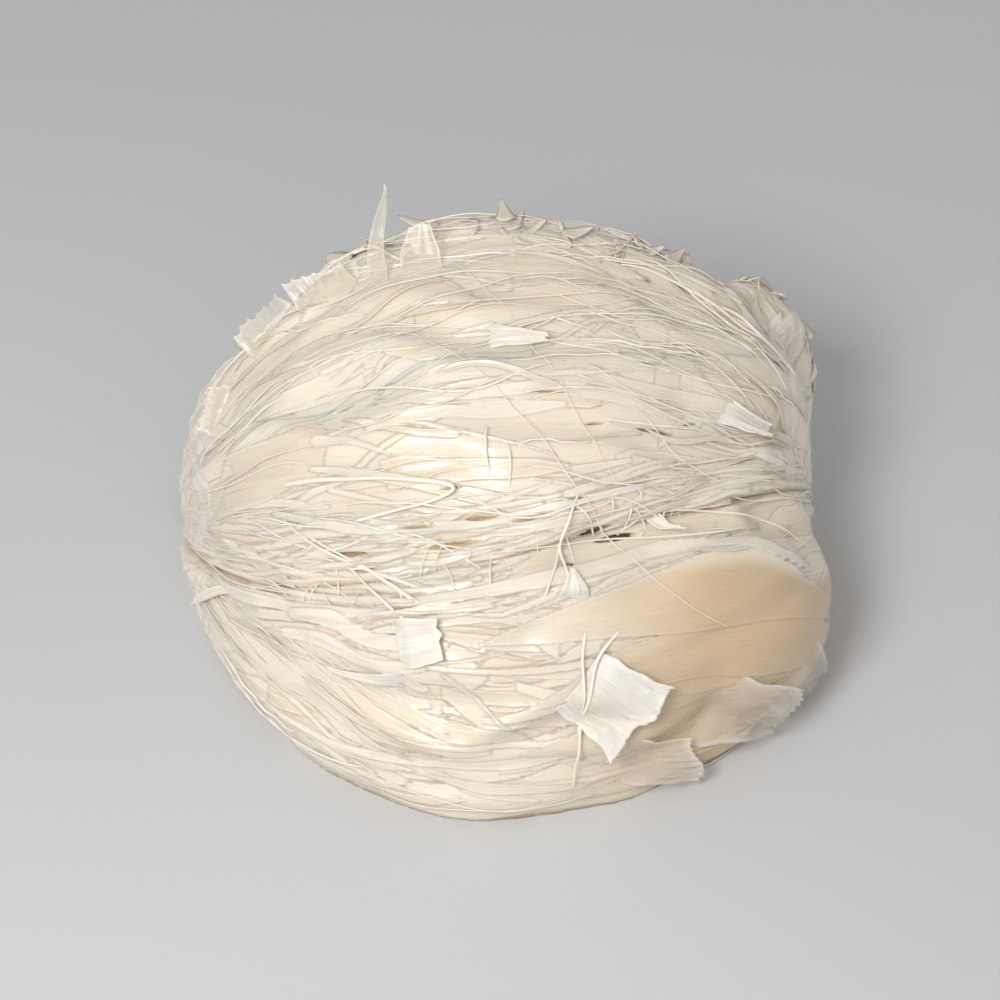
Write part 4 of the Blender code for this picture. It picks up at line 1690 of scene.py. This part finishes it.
class NEST_OT_flakes(NestOperator, bpy.types.Operator):
    """Lay the flakes: stiff pieces of film, some pleated like a fan, and clear ones that stand off"""

    bl_idname = "nest.flakes"
    bl_label = "Flakes"

    def execute(self, context):
        rng = np.random.default_rng(context.scene.nest_strands.seed + 70)
        self.joined("flakes", FLAKES, rng, material_named("set_flake", flake_material))
        self.joined("clear_flakes", CLEAR_FLAKES, rng, material_named("set_film", film_material))
        return {"FINISHED"}

    def joined(self, name, rows, rng, material):
        """One piece of all the flakes of a list."""
        outer, _ = skins()
        made = [self.flake(outer, rng, *row) for row in rows]
        deselect_all()
        for each in made:
            each.select_set(True)
        bpy.context.view_layer.objects.active = made[0]
        bpy.ops.object.join()
        piece = bpy.context.object
        piece.name = piece.data.name = name
        piece.data.materials.append(material)
        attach(piece, "root")

    def flake(self, skin, rng, along, turn, length, width, heading, stand, end, pleats, curl):
        """A grid bent over the skin from its root, with an outline of its own, thickened."""
        piece, share, v = self.grid()
        slant, phase = rng.normal(0, 0.08), rng.uniform(0, 6, 3)
        narrow = (1 - (1 - end) * share**FLAKE_TAPER) * (0.96 + kinked(rng, 0, 1, FLAKE_CORNERS, 0.05)(share))
        reach = 1 + kinked(rng, -1, 1, FLAKE_CORNERS, FLAKE_TEAR)(v)
        out = (share * reach + slant * v * share) * length / 1000
        aside = v * narrow * width / 2000
        ridges = (1 - np.abs(np.sin(math.pi * pleats * v * (1.3 - 0.3 * share)))) ** 2 * (pleats > 0)
        ridges = ridges * smooth(1.8 * share - 0.5)
        creases = np.abs(kinked(rng, -1, 1, FLAKE_CREASES, 1)(v + slant * share))
        rise = curl / 1000 * share**3 + PLEAT_DEPTH * ridges + CREASE * creases * smooth(2 * share)
        rise = rise + FLAKE_WAVE * np.sin(2.5 * v + phase[1]) * share - ROOT_TUCK * (1 - smooth(3 * share))
        rise = rise + out * math.sin(math.radians(stand)) + FLAKE_LIFT
        forward = out * math.cos(math.radians(stand))
        along, turn = self.moved(skin, along, math.radians(turn), math.radians(heading), forward, aside)
        points, _ = skin.place(along, turn, rise)
        mesh = piece.data
        mesh.vertices.foreach_set("co", held_above_cut(points, 2 * LEAST_HEIGHT).astype(np.float32).ravel())
        # On clear flakes this whitens the rims, the free end and the pleat ridges as a painted highlight; on
        # the others it only makes them less clear
        hold(mesh, "edge", np.maximum(np.maximum(np.abs(v), share) ** 10 * smooth(4 * share), 0.6 * ridges))
        hold(mesh, "tone", 0.7 + 0.3 * np.sin(3 * v + phase[0]))
        hold(mesh, "deep", 0 * share)
        hold(mesh, "flow", np.stack([forward, aside, 0 * share + phase[1]], -1))
        mesh.update()
        self.thicken(piece)
        mesh.shade_smooth()
        return piece

    @staticmethod
    def grid():
        """A flat grid, with the share of the length and the place across for each of its points."""
        deselect_all()
        columns, rows = FLAKE_STEPS
        bpy.ops.mesh.primitive_grid_add(x_subdivisions=columns, y_subdivisions=rows, size=2.0)
        piece = bpy.context.object
        flat = np.empty(len(piece.data.vertices) * 3, np.float32)
        piece.data.vertices.foreach_get("co", flat)
        flat = flat.reshape(-1, 3)
        return piece, (flat[:, 0] + 1) / 2, flat[:, 1]

    @staticmethod
    def moved(skin, along, turn, heading, forward, aside):
        """The along and turn that lie forward and aside of a place, in metres over the skin."""
        step = 0.01
        here, _ = skin.place(np.array(along), np.array(turn), np.array(0.0))
        ahead, _ = skin.place(np.array(along + step), np.array(turn), np.array(0.0))
        over, _ = skin.place(np.array(along), np.array(turn + step), np.array(0.0))
        per_along, per_turn = np.linalg.norm(ahead - here) / step, np.linalg.norm(over - here) / step
        east = forward * math.cos(heading) - aside * math.sin(heading)
        north = forward * math.sin(heading) + aside * math.cos(heading)
        return along + east / per_along, turn + north / per_turn

    @staticmethod
    def thicken(piece):
        """Gives a flake its two faces and closes its edge."""
        made_active(piece)
        modifier = piece.modifiers.new("thickness", "SOLIDIFY")
        modifier.thickness = FLAKE_THICKNESS
        modifier.offset = 0
        bpy.ops.object.modifier_apply(modifier=modifier.name)


class NEST_OT_lip(NestOperator, bpy.types.Operator):
    """Lay ribbons over the lip and the foot ends, and set the pointed ends that stand off the lip"""

    bl_idname = "nest.lip"
    bl_label = "Lip"

    def execute(self, context):
        settings = context.scene.nest_strands
        fringe = lip_fringe(settings, seed=50, count=240, length=(0.002, 0.0085), width=(0.0010, 0.0045))
        self.lay("lip_fringe", fringe, material_named("set_band", band_material))
        ends = end_ribbons(settings, seed=80, count=END_RIBBONS)
        self.lay("end_ribbons", ends, material_named("set_strand", strand_material))
        return {"FINISHED"}


class NEST_OT_inner_web(NestOperator, bpy.types.Operator):
    """Lay the web of strands inside the cup"""

    bl_idname = "nest.inner_web"
    bl_label = "Inner Web"

    def execute(self, context):
        settings = context.scene.nest_strands
        web = inner_web(settings, seed=60, count=420)
        self.lay("inner_web", web, material_named("set_strand", strand_material))
        return {"FINISHED"}


class NEST_OT_stage(bpy.types.Operator):
    """Set the floor, the lights, the world and the camera"""

    bl_idname = "nest.stage"
    bl_label = "Stage"
    bl_options = {"REGISTER", "UNDO"}

    def execute(self, context):
        settings = context.scene.nest_stage
        self.add_floor(settings)
        self.add_world()
        middle = Vector((0, 0.004, HIGH.z * 0.40))
        for light in LIGHTS:
            self.add_light(middle, *light)
        self.add_camera(settings, middle)
        return {"FINISHED"}

    @staticmethod
    def add_floor(settings):
        deselect_all()
        bpy.ops.mesh.primitive_plane_add(size=4.0, location=(0, 0, 0))
        floor = bpy.context.object
        floor.name = "floor"
        graph = Graph("pale_floor")
        soft = graph.noise(graph.places(), (6, 6, 6), 2)
        colour = graph.mixed(soft * 0.15, settings.floor, (0.80, 0.80, 0.81, 1))
        floor.data.materials.append(graph.finished({"Base Color": colour, "Roughness": 0.75}))

    @staticmethod
    def add_world():
        world = bpy.data.worlds.new("studio")
        world.use_nodes = True
        world.node_tree.nodes["Background"].inputs["Color"].default_value = (1.0, 0.985, 0.965, 1)
        world.node_tree.nodes["Background"].inputs["Strength"].default_value = WORLD_STRENGTH
        bpy.context.scene.world = world

    @staticmethod
    def add_light(target, name, place, size, power, colour):
        light = bpy.data.lights.new(name, "AREA")
        light.size = size
        light.energy = power
        light.color = colour
        lamp = bpy.data.objects.new(name, light)
        lamp.location = place
        lamp.rotation_euler = (target - Vector(place)).to_track_quat("-Z", "Y").to_euler()
        bpy.context.scene.collection.objects.link(lamp)

    @staticmethod
    def add_camera(settings, target):
        view = bpy.data.cameras.new("view")
        view.lens = settings.lens
        view.clip_start = 0.01
        camera = bpy.data.objects.new("view", view)
        away = Vector((0, -math.cos(settings.elevation), math.sin(settings.elevation)))
        camera.location = target + away * settings.distance
        camera.rotation_euler = (-away).to_track_quat("-Z", "Y").to_euler()
        bpy.context.scene.collection.objects.link(camera)
        bpy.context.scene.camera = camera
        bpy.context.scene.view_settings.view_transform = "Standard"


OPERATORS = (
    NEST_OT_stage,
    NEST_OT_wall,
    NEST_OT_sheets,
    NEST_OT_threads,
    NEST_OT_flakes,
    NEST_OT_lip,
    NEST_OT_inner_web,
)


class NEST_PT_sidebar(bpy.types.Panel):
    """Lists what makes the nest."""

    bl_idname = "NEST_PT_sidebar"
    bl_label = "Edible Bird's Nest"
    bl_space_type = "VIEW_3D"
    bl_region_type = "UI"
    bl_category = "Nest"

    def draw(self, context):
        for settings in (context.scene.nest_strands, context.scene.nest_stage):
            box = self.layout.box()
            for name in settings.bl_rna.properties.keys():
                if name not in ("rna_type", "name"):
                    box.prop(settings, name)
        for operator in OPERATORS:
            self.layout.operator(operator.bl_idname)


CLASSES = (StrandSettings, StageSettings, *OPERATORS, NEST_PT_sidebar)


def register():
    for each in CLASSES:
        bpy.utils.register_class(each)
    bpy.types.Scene.nest_strands = bpy.props.PointerProperty(type=StrandSettings)
    bpy.types.Scene.nest_stage = bpy.props.PointerProperty(type=StageSettings)


def unregister():
    del bpy.types.Scene.nest_strands
    del bpy.types.Scene.nest_stage
    for each in reversed(CLASSES):
        bpy.utils.unregister_class(each)


def main():
    register()
    for operator in OPERATORS:
        group, name = operator.bl_idname.split(".")
        getattr(getattr(bpy.ops, group), name)()


if __name__ == "__main__":
    main()
